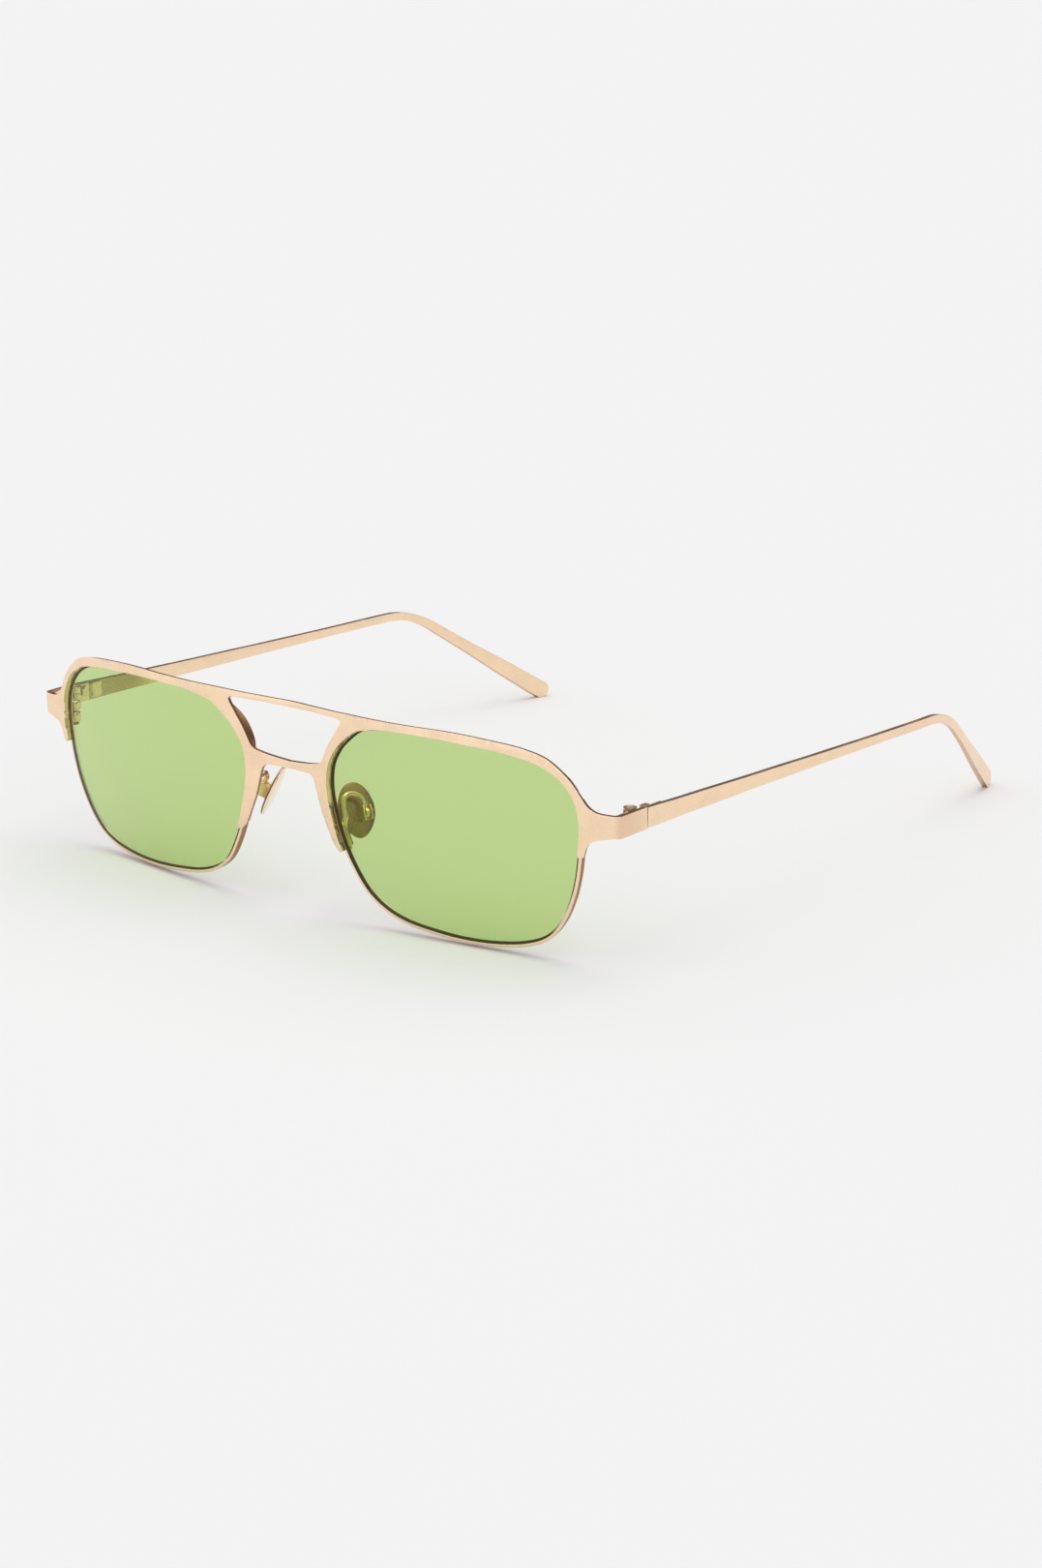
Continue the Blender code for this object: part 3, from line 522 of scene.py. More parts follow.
def dress(thing, *materials):
    """Fills the piece's slots in order, leaving which face uses which slot alone."""
    slots = thing.data.materials
    for i, material in enumerate(materials):
        if i < len(slots):
            slots[i] = material
        else:
            slots.append(material)
    return thing


def other_side(thing, name):
    """A mirrored copy on the -X side."""
    alone(thing)
    bpy.ops.object.duplicate()
    copy = bpy.context.object
    copy.name = copy.data.name = name
    copy.data.transform(Matrix.Scale(-1, 4, (1, 0, 0)))
    bpy.ops.object.mode_set(mode="EDIT")
    bpy.ops.mesh.select_all(action="SELECT")
    bpy.ops.mesh.normals_make_consistent(inside=False)
    bpy.ops.object.mode_set(mode="OBJECT")
    return copy


def refined(node, width):
    """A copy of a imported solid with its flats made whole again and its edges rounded."""
    thing = bpy.data.objects.new(node + "_fine", NODES[node].data.copy())
    bpy.context.scene.collection.objects.link(thing)
    alone(thing)
    bpy.ops.object.mode_set(mode="EDIT")
    bpy.ops.mesh.select_all(action="SELECT")
    bpy.ops.mesh.remove_doubles(threshold=1e-6)
    bpy.ops.mesh.dissolve_limited(angle_limit=math.radians(1))
    bpy.ops.object.mode_set(mode="OBJECT")
    return finish_edges(thing, width)


def wire(name, points, radii):
    """A round wire through the points, with its ends closed."""
    bpy.ops.object.select_all(action="DESELECT")
    bpy.ops.curve.primitive_bezier_curve_add()
    made = bpy.context.object
    made.name = made.data.name = name
    made.data.splines.clear()
    line = made.data.splines.new("POLY")
    line.points.add(len(points) - 1)
    for knot, point, radius in zip(line.points, points, radii):
        knot.co = (*point, 1)
        knot.radius = radius
    made.data.bevel_depth = 1
    made.data.bevel_resolution = 6
    made.data.use_fill_caps = True
    bpy.ops.object.convert(target="MESH")
    made = bpy.context.object
    bpy.ops.object.mode_set(mode="EDIT")
    bpy.ops.mesh.select_all(action="SELECT")
    bpy.ops.mesh.remove_doubles(threshold=1e-7)
    bpy.ops.mesh.normals_make_consistent(inside=False)
    bpy.ops.object.mode_set(mode="OBJECT")
    return made


def lay(thing, across, up, out, origin):
    """Turns a piece made round the world's axes to the given ones and moves it there."""
    turn = Matrix((across, up, out)).transposed().to_4x4()
    thing.data.transform(Matrix.Translation(origin) @ turn)
    return thing


def drum(name, radius, low, high, sides=40):
    """An upright cylinder between two levels, its place already in its mesh."""
    bpy.ops.object.select_all(action="DESELECT")
    bpy.ops.mesh.primitive_cylinder_add(
        vertices=sides, radius=radius, depth=high - low, location=(0, 0, (low + high) / 2)
    )
    bpy.ops.object.transform_apply()
    made = bpy.context.object
    made.name = made.data.name = name
    return made


SLOT_SHARE, SLOT_INSET, SLOT_DEPTH = 0.14, 0.03, 0.5


def slotted_screw(name, head, thick, pin, length):
    """A screw whose slotted head ends at the origin, its pin running down from it."""
    cap = drum(name, head, -thick, 0)
    slot = head * SLOT_SHARE
    bpy.ops.object.mode_set(mode="EDIT")
    cut_at(1, [-slot, slot])
    bpy.ops.mesh.select_all(action="DESELECT")
    bpy.ops.object.mode_set(mode="OBJECT")
    for face in cap.data.polygons:
        face.select = face.normal.z > 0.9 and abs(face.center.y) < slot / 2
    bpy.ops.object.mode_set(mode="EDIT")
    bpy.ops.mesh.select_mode(type="FACE")
    bpy.ops.mesh.inset(thickness=head * SLOT_INSET)
    bpy.ops.mesh.extrude_region_move(TRANSFORM_OT_translate={"value": (0, 0, -thick * SLOT_DEPTH)})
    bpy.ops.object.mode_set(mode="OBJECT")
    finish_edges(cap, head * 0.1)
    shaft = finish_edges(drum(name + "_pin", pin, -length, -thick * 0.8), pin * 0.2)
    return joined([cap, shaft])


def settle(thing, body, node):
    """Rides the piece on its body and lets it stand for its CAD node."""
    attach(thing, body)
    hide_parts(node)


def settle_pair(thing, name, bodies, node):
    """Mirrors the left piece and settles both; bodies holds the left one's name, then the right one's."""
    settle(other_side(thing, name + "_right_fine"), bodies[1], node + "_right")
    thing.name = thing.data.name = name + "_left_fine"
    settle(thing, bodies[0], node + "_left")


# ---------------------------------------------------------------- shader maths

class Wire:
    """A shader socket that takes part in sums."""

    def __init__(self, net, socket):
        self.net, self.socket = net, socket

    def __add__(self, other):
        return self.net.maths("ADD", self, other)

    def __sub__(self, other):
        return self.net.maths("SUBTRACT", self, other)

    def __rsub__(self, other):
        return self.net.maths("SUBTRACT", other, self)

    def __mul__(self, other):
        return self.net.maths("MULTIPLY", self, other)

    __radd__, __rmul__ = __add__, __mul__


class Net:
    """The nodes of one material or of the world."""

    def __init__(self, owner):
        owner.use_nodes = True
        self.owner = owner
        self.tree = owner.node_tree

    @classmethod
    def finish(cls, name, colour, roughness, metallic=1.0):
        """A new material's nodes, round one Principled shader."""
        net = cls(bpy.data.materials.new(name))
        net.shader = net.tree.nodes["Principled BSDF"]
        net.set(net.shader, Base_Color=(*colour, 1), Metallic=metallic, Roughness=roughness)
        return net

    def set(self, node, **values):
        for name, value in values.items():
            self.feed(node.inputs[name.replace("_", " ")], value)

    def feed(self, socket, value):
        if isinstance(value, Wire):
            self.tree.links.new(value.socket, socket)
        else:
            socket.default_value = value

    def node(self, kind, settings=None, output=0, **values):
        made = self.tree.nodes.new("ShaderNode" + kind)
        for name, value in (settings or {}).items():
            setattr(made, name, value)
        self.set(made, **values)
        return Wire(self, made.outputs[output])

    def maths(self, operation, a, b):
        made = self.tree.nodes.new("ShaderNodeMath")
        made.operation = operation
        self.feed(made.inputs[0], a)
        self.feed(made.inputs[1], b)
        return Wire(self, made.outputs[0])

    def noise(self, scale, detail, stretch=(1, 1, 1)):
        """Noise over the piece's own coordinates, stretched."""
        where = self.node("TexCoord", output="Object")
        placed = self.node("Mapping", Vector=where, Scale=stretch)
        return self.node("TexNoise", output="Fac", Vector=placed, Scale=scale, Detail=detail)

    def range(self, value, low, high, to_low, to_high):
        """Eases from one value to another between two ends."""
        return self.node(
            "MapRange", {"interpolation_type": "SMOOTHSTEP"}, "Result",
            Value=value, From_Min=low, From_Max=high, To_Min=to_low, To_Max=to_high,
        )

    def axes(self, where):
        """The three coordinates of a vector."""
        parts = self.tree.nodes.new("ShaderNodeSeparateXYZ")
        self.feed(parts.inputs[0], where)
        return [Wire(self, parts.outputs[i]) for i in range(3)]

    def blend(self, factor, a, b):
        """One colour turning into another."""
        made = self.tree.nodes.new("ShaderNodeMix")
        made.data_type = "RGBA"
        self.feed(made.inputs["Factor"], factor)
        for socket, value in zip((made.inputs[6], made.inputs[7]), (a, b)):
            self.feed(socket, value if isinstance(value, Wire) else (*value, 1))
        return Wire(self, made.outputs[2])

    def bump(self, height, strength, distance):
        return self.node("Bump", output="Normal", Height=height, Strength=strength, Distance=distance)


CLOUD_SCALE, CLOUD_SHADE = 180, 0.94
GRAIN_SCALE, GRAIN_STRENGTH, GRAIN_DEPTH = 5200, 0.35, 0.003 * MM
SMUDGE_SCALE, SMUDGE = 90, 0.05
CORNER_FADE = 9.0 * MM
HINGE_SHADE, HINGE_SHADE_BACK, HINGE_FADE = 0.62, 17.0 * MM, 7.0 * MM
MATERIALS = {}


def satin_metal(name, colour, grain=(1, 1, 1), corner_shade=False, shaded_near_hinge=False):
    """Plated metal with a fine grain, faint clouding of its colour and handling marks in its gloss.

    Where asked, it paints shade by deepening the tone beside the end pieces' corners, and beside the hinge on the
    temples' insides. Pieces share it by name."""
    if name in MATERIALS:
        return MATERIALS[name]
    roughness = ROUGHNESS[name]
    net = Net.finish(name, colour, roughness)
    clouds = net.noise(CLOUD_SCALE, 4)
    fine = net.noise(GRAIN_SCALE, 2, grain)
    darker = tuple(c * CLOUD_SHADE for c in colour)
    tone = net.blend(net.range(clouds, 0.35, 0.65, 0, 1), darker, tuple(colour))
    # Painted shade: the tone deepens on the end pieces' outer faces beside the corners.
    if corner_shade:
        x, y, _ = net.axes(net.node("TexCoord", output="Object"))
        outside = net.range(net.maths("ABSOLUTE", x, 0), SIDE_X - SHEET, SIDE_X - 0.1 * MM, 0, 1)
        start = plan(CORNER_X + CORNER_LENGTH)[1] + BRIDGE_BACK
        beside = outside * net.range(y, start, start + CORNER_FADE, 1, 0)
        tone = net.blend(beside, tone, tuple(finishes().corner))
    # Painted shade: the temple's inside is darker beside the hinge.
    if shaded_near_hinge:
        _, y, _ = net.axes(net.node("TexCoord", output="Object"))
        start = HINGE.y + HINGE_SHADE_BACK
        beside = net.range(y, start, start + HINGE_FADE, 1, 0)
        tone = net.blend(beside, tone, tuple(c * HINGE_SHADE for c in colour))
    net.set(net.shader, Base_Color=tone)
    smudges = net.range(net.noise(SMUDGE_SCALE, 5), 0.4, 0.7, -SMUDGE, SMUDGE)
    net.set(net.shader, Roughness=smudges + net.range(fine, 0.3, 0.7, roughness - 0.04, roughness + 0.05))
    net.set(net.shader, Normal=net.bump(fine, GRAIN_STRENGTH, GRAIN_DEPTH))
    MATERIALS[name] = net.owner
    return net.owner


LENS_INDEX = 1.2
LENS_SHADOW = 0.1


def green_glass():
    """Clear tinted glass whose own shadow is faint."""
    net = Net.finish("green_glass", finishes().lens, 0.0, metallic=0)
    net.set(net.shader, Transmission_Weight=1.0, IOR=LENS_INDEX)
    tint = net.node("BsdfTransparent", Color=(*(c**LENS_SHADOW for c in finishes().lens), 1))
    lamp = net.node("LightPath", output="Is Shadow Ray")
    made = net.tree.nodes.new("ShaderNodeMixShader")
    net.feed(made.inputs[0], lamp)
    net.feed(made.inputs[1], Wire(net, net.shader.outputs[0]))
    net.feed(made.inputs[2], tint)
    net.tree.links.new(made.outputs[0], net.tree.nodes["Material Output"].inputs["Surface"])
    return net.owner


def shaded_lens_edge():
    """The lens's edge, ground matt where it sits in the metal, and painted near black as the shade in the eyewire's
    groove.
    """
    colour = tuple(finishes().lens_edge)
    net = Net.finish("lens_edge", colour, 0.7, metallic=0)
    marks = net.noise(2600, 3)
    darker = tuple(c * 0.7 for c in colour)
    net.set(net.shader, Base_Color=net.blend(net.range(marks, 0.35, 0.65, 0, 1), darker, colour))
    return net.owner


# ---------------------------------------------------------------- pieces

class SUNGLASSES_OT_front_sheet(bpy.types.Operator):
    """The thin front sheet with its two bridge bars and bent-back end pieces"""

    bl_idname = "sunglasses.front_sheet"
    bl_label = "Front sheet"

    def execute(self, context):
        size = sizes()
        turn = [CORNER_X + CORNER_LENGTH * i / CORNER_CUTS for i in range(CORNER_CUTS + 1)]
        bends = spread(-CORNER_X, CORNER_X, size.bend_gap) + turn + [-t for t in turn]
        outlines = [sheet_outline(), both_halves(smooth(BRIDGE_HOLE))]
        rows = spread(NASAL_ARM_END, SHEET_TOP, size.bend_gap)
        window = smooth(WINDOW, closed=True)

        def wall(spot):
            """The eye openings' walls take the glossier gold, the other walls the painted shade colour, and the ends
            match the temples.
            """
            if abs(spot.x) > END_S - HAIR:
                return 0
            spot = Vector((abs(spot.x), spot.y))
            return 3 if min((spot - p).length for p in window) < size.point_gap else 1

        sheet = slab("front_sheet_fine", outlines, 0, SHEET, bends, rows, on_front, wall_slot=wall)
        # Slot 0 carries painted shade beside the corners, slot 1 is painted shade on the other walls, slot 2 the
        # painted highlight of the bevels, slot 3 the gold of the eye openings' walls.
        dress(
            sheet, satin_metal("sheet_gold", finishes().gold, grain=(0.2, 1, 1), corner_shade=True),
            satin_metal("painted_shade_wall_gold", finishes().shade), satin_metal("edge_highlight_gold", finishes().edge),
            satin_metal("window_gold", finishes().gold),
        )
        # The bevels take slot 2, the painted highlight colour.
        finish_edges(sheet, size.sheet_edge, slot=2)
        settle(sheet, "front", "front_sheet")
        return {"FINISHED"}


class SUNGLASSES_OT_eyewires(bpy.types.Operator):
    """The two eyewires behind the front sheet"""

    bl_idname = "sunglasses.eyewires"
    bl_label = "Eyewires"

    def execute(self, context):
        line = smooth(WINDOW, closed=True)
        outside = swollen(line, offset(line, RIM_WIDTH))
        rim = joined([ring(line), ring(outside)])
        rim.name = rim.data.name = "rim"
        bpy.ops.object.mode_set(mode="EDIT")
        bpy.ops.mesh.select_all(action="SELECT")
        bpy.ops.mesh.bridge_edge_loops()
        cut_at(1, [RIM_SPLIT_Z - RIM_SPLIT / 2, RIM_SPLIT_Z + RIM_SPLIT / 2])
        bpy.ops.mesh.select_all(action="DESELECT")
        bpy.ops.object.mode_set(mode="OBJECT")
        for face in rim.data.polygons:
            face.select = face.center.x > LENS_CENTRE_X and abs(face.center.y - RIM_SPLIT_Z) < RIM_SPLIT / 2
        bpy.ops.object.mode_set(mode="EDIT")
        bpy.ops.mesh.delete(type="FACE")
        bpy.ops.mesh.select_all(action="SELECT")
        bpy.ops.mesh.extrude_region_move(TRANSFORM_OT_translate={"value": (0, 0, RIM_BACK - RIM_FRONT)})
        outer = {}
        step = RIM_STEP_AT - RIM_FRONT
        cut_at(2, [step, step + HAIR])
        bpy.ops.object.mode_set(mode="OBJECT")
        for vertex in rim.data.vertices:
            x, y, z = vertex.co
            spot = Vector((x, y))
            near = min(range(len(line)), key=lambda i: (outside[i] - spot).length)
            outer[vertex.index] = (outside[near] - spot).length < (line[near] - spot).length
            if z < step + HAIR / 2 and outer[vertex.index]:
                x, y = spot - (outside[near] - line[near]).normalized() * RIM_STEP
            vertex.co = on_front(x, y, z + RIM_FRONT)
        for face in rim.data.polygons:
            # Faces on the eyewire's outside take slot 1, the painted shade colour.
            face.material_index = int(all(outer[i] for i in face.vertices))
        bpy.ops.object.mode_set(mode="EDIT")
        bpy.ops.mesh.select_all(action="SELECT")
        bpy.ops.mesh.normals_make_consistent(inside=False)
        bpy.ops.object.mode_set(mode="OBJECT")
        dress(rim, satin_metal("eyewire_gold", finishes().gold), satin_metal("painted_shade_wall_gold", finishes().shade))
        finish_edges(rim, sizes().rim_edge, segments=3, angle=60)
        settle_pair(rim, "rim", ("front", "front"), "rim")
        return {"FINISHED"}


class SUNGLASSES_OT_lenses(bpy.types.Operator):
    """The two curved lenses"""

    bl_idname = "sunglasses.lenses"
    bl_label = "Lenses"

    def execute(self, context):
        outline = offset(smooth(WINDOW, closed=True), -LENS_GAP)
        across = spread(min(p.x for p in outline), max(p.x for p in outline), sizes().bend_gap)
        up = spread(min(p.y for p in outline), max(p.y for p in outline), sizes().bend_gap)
        lens = slab("lens", [outline], LENS_FRONT, LENS_BACK, across, up, on_front, wall_slot=lambda spot: 1)
        dress(lens, green_glass(), shaded_lens_edge())
        alone(lens)
        bpy.ops.object.shade_smooth_by_angle(angle=math.radians(30))
        settle_pair(lens, "lens", ("front", "front"), "lens")
        return {"FINISHED"}


def temple_plan(y):
    """How far the temple's outer face has moved in from the end piece at this depth."""
    low, high = PLAN_BEND
    length = high - low
    t = min(max((y - low) / length, 0), 1)
    extra = PLAN_TIP_SLOPE - PLAN_SLOPE
    moved = PLAN_SLOPE * (y - TEMPLE_FRONT) + extra * length * (t**3 - t**4 / 2)
    return moved + extra * max(0, y - high)


def temple_line():
    """The strip's middle line in side view: two straight runs joined by an arc."""
    start = Vector((TEMPLE_FRONT, (LUG_TOP + LUG_BOTTOM) / 2))
    bend, tip = Vector(TEMPLE_BEND), Vector(TEMPLE_TIP)
    first, second = (bend - start).normalized(), (tip - bend).normalized()
    turn = first.angle(second)
    reach = TEMPLE_BEND_RADIUS * math.tan(turn / 2)
    turning = bend - first * reach
    centre = turning + Vector((first.y, -first.x)) * TEMPLE_BEND_RADIUS
    points = [start.lerp(turning, i / STRAIGHT_POINTS) for i in range(STRAIGHT_POINTS + 1)]
    for i in range(1, BEND_POINTS + 1):
        points.append(centre + Matrix.Rotation(-turn * i / BEND_POINTS, 2) @ (turning - centre))
    leaving = points[-1]
    return points + [leaving.lerp(tip, i / TIP_POINTS) for i in range(1, TIP_POINTS + 1)]


def strip_height(length):
    """The strip's height at a length along its middle line."""
    for (a, low), (b, high) in zip(TEMPLE_HEIGHTS, TEMPLE_HEIGHTS[1:]):
        if length <= b * MM:
            t = (length / MM - a) / (b - a)
            ease = t * t * (3 - 2 * t)
            return (low + (high - low) * (0.5 * t + 0.5 * ease)) * MM
    return TEMPLE_HEIGHTS[-1][1] * MM


def temple_outline():
    """The strip's outline in side view, depth and height, ending in a half round."""
    line = temple_line()
    upper, lower = [], []
    length = 0
    for i, point in enumerate(line):
        along = (line[min(i + 1, len(line) - 1)] - line[max(i - 1, 0)]).normalized()
        length += (point - line[i - 1]).length if i else 0
        out = Vector((-along.y, along.x)) * strip_height(length) / 2
        upper.append(point + out)
        lower.append(point - out)
    ahead = (line[-1] - line[-2]).normalized()
    aside = Vector((-ahead.y, ahead.x))
    radius = strip_height(length) / 2
    turns = [math.pi * k / TIP_POINTS for k in range(1, TIP_POINTS)]
    tip = [line[-1] + (aside * math.cos(a) + ahead * math.sin(a)) * radius for a in turns]
    return upper + tip + lower[::-1]


def on_temple(y, z, level):
    """Where a point of the flat strip lies: level runs from 0, the outer face, to 1, the inner one."""
    grown = min(max((y - TEMPLE_BEND[0]) / (TEMPLE_TIP[0] - TEMPLE_BEND[0]), 0), 1)
    thick = TEMPLE_THICK + (TIP_THICK - TEMPLE_THICK) * grown
    return Vector((SIDE_X - temple_plan(y) - level * thick, y + BRIDGE_BACK, z + BRIDGE_UP))


class SUNGLASSES_OT_temples(bpy.types.Operator):
    """The two flat temples, bent down and widened behind the ears"""

    bl_idname = "sunglasses.temples"
    bl_label = "Temples"

    def execute(self, context):
        cuts = spread(TEMPLE_FRONT, TEMPLE_TIP[0] + TEMPLE_CUTS, TEMPLE_CUTS)
        temple = slab(
            "temple", [temple_outline()], 0, 1, cuts, [], on_temple,
            wall_slot=lambda spot: 0 if spot.x < TEMPLE_FRONT + HAIR else 1,
        )
        for face in temple.data.polygons:
            if face.normal.x < -0.8:
                face.material_index = 2
        # The walls take a colour half way from the gold to the painted shade; the insides carry painted shade beside
        # the hinge.
        walls = [(a + b) / 2 for a, b in zip(finishes().gold, finishes().shade)]
        lengthwise = (1, 0.03, 1)
        dress(
            temple, satin_metal("temple_gold", finishes().gold, grain=lengthwise),
            satin_metal("temple_wall_gold", walls, grain=lengthwise),
            satin_metal("temple_inside_gold", finishes().gold, grain=lengthwise, shaded_near_hinge=True),
        )
        finish_edges(temple, sizes().temple_edge, segments=5, slot=0)
        settle_pair(temple, "temple", ("left_temple", "right_temple"), "temple")
        return {"FINISHED"}


def pad_axes():
    """Directions of the +X pad: along its width, along its length, and away from the nose."""
    width = Vector((math.sin(PAD_SPLAY), math.cos(PAD_SPLAY), 0))
    length = Vector((-math.sin(PAD_FLARE), -math.sin(PAD_LEAN), math.cos(PAD_FLARE))).normalized()
    length = (length - width * length.dot(width)).normalized()
    return width, length, width.cross(length)


def in_pad(width, length, out):
    """The point at these distances from the +X pad's middle, along its own directions."""
    across, up, away = pad_axes()
    return PAD_CENTRE + across * width + up * length + away * out


class SUNGLASSES_OT_nose_pads(bpy.types.Operator):
    """The two metal nose pads, their channels and the cross screws that they rock on"""

    bl_idname = "sunglasses.nose_pads"
    bl_label = "Nose pads"

    def execute(self, context):
        pads = ("left_nose_pad", "right_nose_pad")
        bpy.ops.object.select_all(action="DESELECT")
        bpy.ops.mesh.primitive_uv_sphere_add(segments=64, ring_count=32, radius=1)
        pad = context.object
        for vertex in pad.data.vertices:
            x, y, z = vertex.co
            narrowed = 1 - PAD_NARROWING * max(0, -y) ** 1.5
            shortened = 1 if y > 0 else PAD_LOWER_SHARE
            fullness = PAD_FULLNESS[0 if z > 0 else 1]
            vertex.co = in_pad(
                x * narrowed * PAD_WIDTH / 2, y * shortened * PAD_LENGTH / 2,
                math.copysign(abs(z) ** fullness, z) * PAD_THICK / 2,
            )
        alone(pad)
        bpy.ops.object.shade_smooth()
        bpy.ops.object.mode_set(mode="EDIT")
        bpy.ops.mesh.select_all(action="SELECT")
        bpy.ops.mesh.normals_make_consistent(inside=False)
        bpy.ops.object.mode_set(mode="OBJECT")
        dress(pad, satin_metal("pad_gold", finishes().pad), satin_metal("pad_back_gold", finishes().pad_back))
        # Painted light and shade: faces away from the nose take the darker colour, the rest the lighter one.
        away = pad_axes()[2]
        for face in pad.data.polygons:
            face.material_index = int((face.center - PAD_CENTRE).dot(away) > 0)
        settle_pair(pad, "nose_pad", pads, "nose_pad")

        floor, top = PAD_THICK / 2 + BOX_GAP, BOX_OUT + EYE_RADIUS
        inside, outside = CHEEK_INSIDE, CHEEK_INSIDE + CHEEK
        channel = [
            (-outside, floor), (-outside, top), (-inside, top), (-inside, floor + CHEEK),
            (inside, floor + CHEEK), (inside, top), (outside, top), (outside, floor),
        ]
        box = slab(
            "pad_box", [[Vector(p) for p in channel]], -BOX_LENGTH / 2, BOX_LENGTH / 2, [], [],
            lambda x, y, z: in_pad(BOX_BACK + x, z - BOX_DROP, y),
        )
        dress(box, satin_metal("fitting_gold", finishes().gold))
        finish_edges(box, BOX_EDGE)
        settle_pair(box, "pad_box", pads, "pad_box")

        across, up, away = pad_axes()
        length = 2 * outside + PAD_SCREW_SPARE
        screw = slotted_screw("pad_screw", PAD_SCREW_HEAD, HEAD_THICK, PAD_SCREW_RADIUS, length)
        lay(screw, up, away, across, in_pad(BOX_BACK + outside + PAD_SCREW_PROUD, -BOX_DROP, BOX_OUT))
        # The screw takes the painted shade colour, darker than the gold around it.
        dress(screw, satin_metal("screw_gold", finishes().shade))
        settle_pair(screw, "pad_screw", pads, "pad_screw")
        return {"FINISHED"}


class SUNGLASSES_OT_pad_arms(bpy.types.Operator):
    """The bent wires that carry the nose pads, each with a soldered foot and a flat eye"""

    bl_idname = "sunglasses.pad_arms"
    bl_label = "Pad arms"

    def execute(self, context):
        across, up, away = pad_axes()
        eye = in_pad(BOX_BACK, -BOX_DROP, BOX_OUT)
        foot = [on_front(s * MM, z * MM, RIM_BACK + FOOT_STANDOFF) for s, z in FOOT_LINE]
        top = in_pad(*WIRE_TOP)
        points = smooth(
            foot + [foot[-1] + FOOT_LEAVES, top + WIRE_CLIMB, top]
            + [eye + up * WIRE_THINS_WITHIN - across * 0.2 * MM, eye + up * EYE_RADIUS * 0.6],
            scale=1, gap=0.2 * MM,
        )
        near_eye = [1 - min(1, (point - eye).length / WIRE_THINS_WITHIN) for point in points]
        radii = [WIRE_RADIUS * (1 - WIRE_THINNING * near) for near in near_eye]
        arm = wire("pad_arm", points, radii)
        bpy.ops.object.shade_smooth_by_angle(angle=math.radians(40))
        disc = drum("pad_eye", EYE_RADIUS, -EYE_THICK / 2, EYE_THICK / 2)
        finish_edges(lay(disc, up, away, across, eye), EYE_EDGE)
        leaf = slab("pad_leaf", [[Vector(p) * MM for p in LEAF]], *LEAF_DEPTHS, [], [], on_front)
        finish_edges(leaf, LEAF_EDGE)
        arm = joined([arm, disc, leaf])
        dress(arm, satin_metal("arm_gold", finishes().gold))
        settle_pair(arm, "pad_arm", ("front", "front"), "pad_arm")
        return {"FINISHED"}


class SUNGLASSES_OT_hinges(bpy.types.Operator):
    """The two hinges inside the end pieces, with their slotted screws"""

    bl_idname = "sunglasses.hinges"
    bl_label = "Hinges"

    def execute(self, context):
        temples = ("left_temple", "right_temple")
        metal = satin_metal("hinge_gold", finishes().gold)
        for node, bodies in (("hinge_front", ("front", "front")), ("hinge_temple", temples)):
            settle_pair(dress(refined(node + "_left", HINGE_EDGE), metal), node, bodies, node)
        screw = slotted_screw("hinge_screw", HINGE_HEAD, HEAD_THICK, HINGE_PIN, HINGE_TOP - HINGE_FOOT)
        screw.data.transform(Matrix.Translation(HINGE + Vector((0, 0, HINGE_TOP))))
        dress(screw, satin_metal("hinge_screw_gold", finishes().gold))
        riders = frame["record"]["behaviour"]["bodies"]
        body = next(name for name, nodes in riders.items() if "hinge_screw_left" in nodes)
        bodies = (body, body.replace("left", "right"))
        settle_pair(screw, "hinge_screw", bodies, "hinge_screw")
        return {"FINISHED"}


class SUNGLASSES_OT_closing_blocks(bpy.types.Operator):
    """The blocks that close each eyewire round its lens, and their screws"""

    bl_idname = "sunglasses.closing_blocks"
    bl_label = "Closing blocks"

    def execute(self, context):
        both = ("front", "front")
        metal = satin_metal("block_gold", finishes().gold)
        for node in ("rim_lock_upper", "rim_lock_lower"):
            settle_pair(dress(refined(node + "_left", BLOCK_EDGE), metal), node, both, node)
        low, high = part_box("rim_lock_screw_left")
        middle = (low + high) / 2
        head, length = (high.x - low.x) / 2, high.z - low.z
        screw = slotted_screw("rim_lock_screw", head, BLOCK_HEAD_THICK, BLOCK_PIN, length)
        upturned = Matrix.Rotation(math.pi, 4, "X")
        screw.data.transform(Matrix.Translation((middle.x, middle.y, low.z)) @ upturned)
        # The screw takes the painted shade colour, darker than the gold around it.
        dress(screw, satin_metal("screw_gold", finishes().shade))
        settle_pair(screw, "rim_lock_screw", both, "rim_lock_screw")
        return {"FINISHED"}


FLOOR_SIZE = 12.0
SENSOR_WIDTH = 36.0
SIDE_WALL_DARKER = 0.08
BACKDROP = 0.9
OVERHEAD_SPREAD = math.radians(40)
OVERHEAD_FROM = Vector((0.05, 0.16, 1))


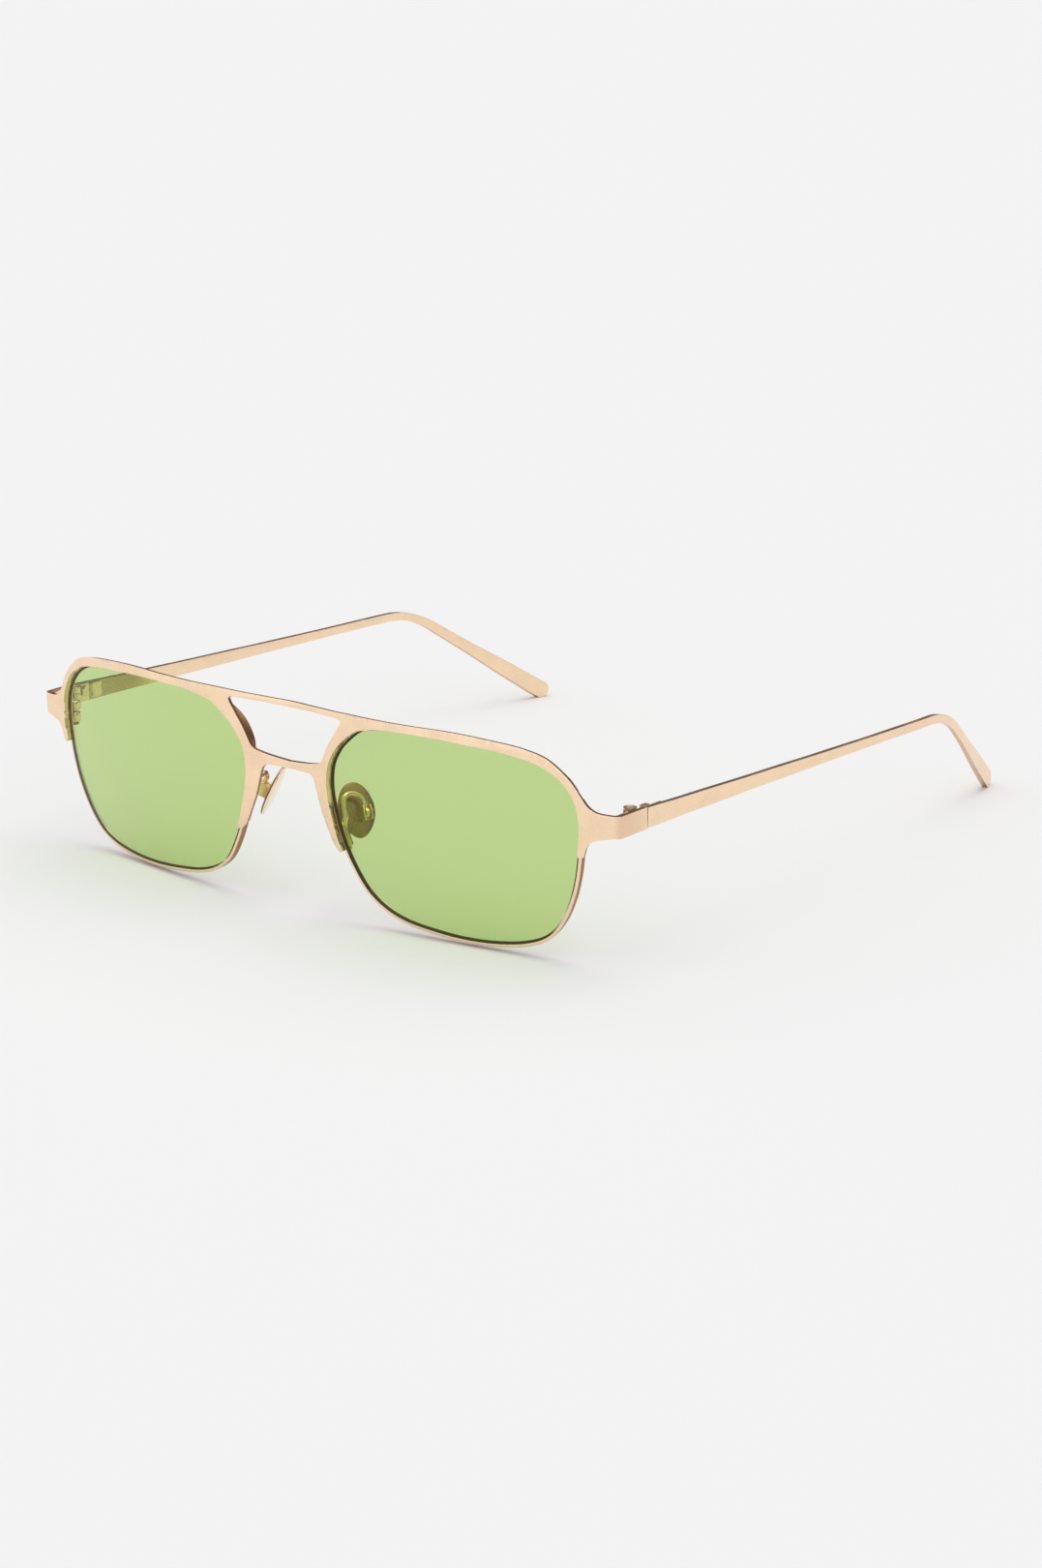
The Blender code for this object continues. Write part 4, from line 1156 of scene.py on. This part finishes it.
class SUNGLASSES_OT_stage(bpy.types.Operator):
    """The pale floor, the studio light and the camera"""

    bl_idname = "sunglasses.stage"
    bl_label = "Stage"

    def execute(self, context):
        stage = context.scene.sunglasses_stage
        bpy.ops.object.select_all(action="DESELECT")
        bpy.ops.mesh.primitive_plane_add(size=FLOOR_SIZE)
        floor = context.object
        floor.name = floor.data.name = "floor"
        net = Net.finish("floor", stage.floor, 1.0, metallic=0)
        net.set(net.shader, Specular_IOR_Level=0)
        floor.data.materials.append(net.owner)

        self.light(context, stage)

        turn = (
            Matrix.Rotation(stage.azimuth, 4, "Z")
            @ Matrix.Rotation(math.pi / 2 - stage.elevation, 4, "X")
            @ Matrix.Rotation(-stage.roll, 4, "Z")
        )
        lens = bpy.data.cameras.new("camera")
        lens.lens = stage.focal
        lens.sensor_width = SENSOR_WIDTH
        camera = bpy.data.objects.new("camera", lens)
        context.scene.collection.objects.link(camera)
        back = Vector((*stage.aside, stage.distance))
        camera.matrix_world = Matrix.Translation((0, BRIDGE_BACK, BRIDGE_UP)) @ turn @ Matrix.Translation(back)
        context.scene.camera = camera
        context.scene.view_settings.view_transform = "Standard"
        return {"FINISHED"}

    @staticmethod
    def light(context, stage):
        """A bright room whose far wall is dark near the table, under a wide soft light."""
        world = bpy.data.worlds.new("studio")
        context.scene.world = world
        net = Net(world)
        x, y, z = net.axes(net.node("TexCoord", output="Generated"))
        low = net.range(z, 0.36, 0.68, 1, 0)
        behind = net.range(y, -0.1, 0.55, 0, 1)
        beside = net.range(x, -1, -0.45, 1, 0)
        room = stage.sky - low * behind * (stage.sky - stage.far_wall) - low * beside * SIDE_WALL_DARKER
        plain = net.node("LightPath", output="Is Camera Ray")
        shade = room * (1 - plain) + plain * BACKDROP
        net.feed(net.tree.nodes["Background"].inputs["Strength"], shade)
        net.feed(net.tree.nodes["Background"].inputs["Color"], (1, 1, 1, 1))
        lamp = bpy.data.lights.new("overhead", "SUN")
        lamp.energy = stage.sun
        lamp.angle = OVERHEAD_SPREAD
        light = bpy.data.objects.new("overhead", lamp)
        context.scene.collection.objects.link(light)
        light.rotation_euler = OVERHEAD_FROM.to_track_quat("Z", "Y").to_euler()


class SUNGLASSES_PT_panel(bpy.types.Panel):
    bl_label = "Sunglasses"
    bl_idname = "SUNGLASSES_PT_panel"
    bl_space_type = "VIEW_3D"
    bl_region_type = "UI"
    bl_category = "Sunglasses"

    def draw(self, context):
        for operator in OPERATORS:
            self.layout.operator(operator.bl_idname)


SETTINGS = (("finish", FinishSettings), ("size", SizeSettings), ("stage", StageSettings))
OPERATORS = (
    SUNGLASSES_OT_stage,
    SUNGLASSES_OT_front_sheet,
    SUNGLASSES_OT_eyewires,
    SUNGLASSES_OT_lenses,
    SUNGLASSES_OT_temples,
    SUNGLASSES_OT_nose_pads,
    SUNGLASSES_OT_pad_arms,
    SUNGLASSES_OT_hinges,
    SUNGLASSES_OT_closing_blocks,
)


def register():
    for name, settings in SETTINGS:
        bpy.utils.register_class(settings)
        setattr(bpy.types.Scene, f"sunglasses_{name}", bpy.props.PointerProperty(type=settings))
    for operator in OPERATORS:
        bpy.utils.register_class(operator)
    bpy.utils.register_class(SUNGLASSES_PT_panel)


def unregister():
    bpy.utils.unregister_class(SUNGLASSES_PT_panel)
    for operator in reversed(OPERATORS):
        bpy.utils.unregister_class(operator)
    for name, settings in reversed(SETTINGS):
        delattr(bpy.types.Scene, f"sunglasses_{name}")
        bpy.utils.unregister_class(settings)


def main():
    register()
    for operator in OPERATORS:
        family, name = operator.bl_idname.split(".")
        getattr(getattr(bpy.ops, family), name)()


if __name__ == "__main__":
    main()
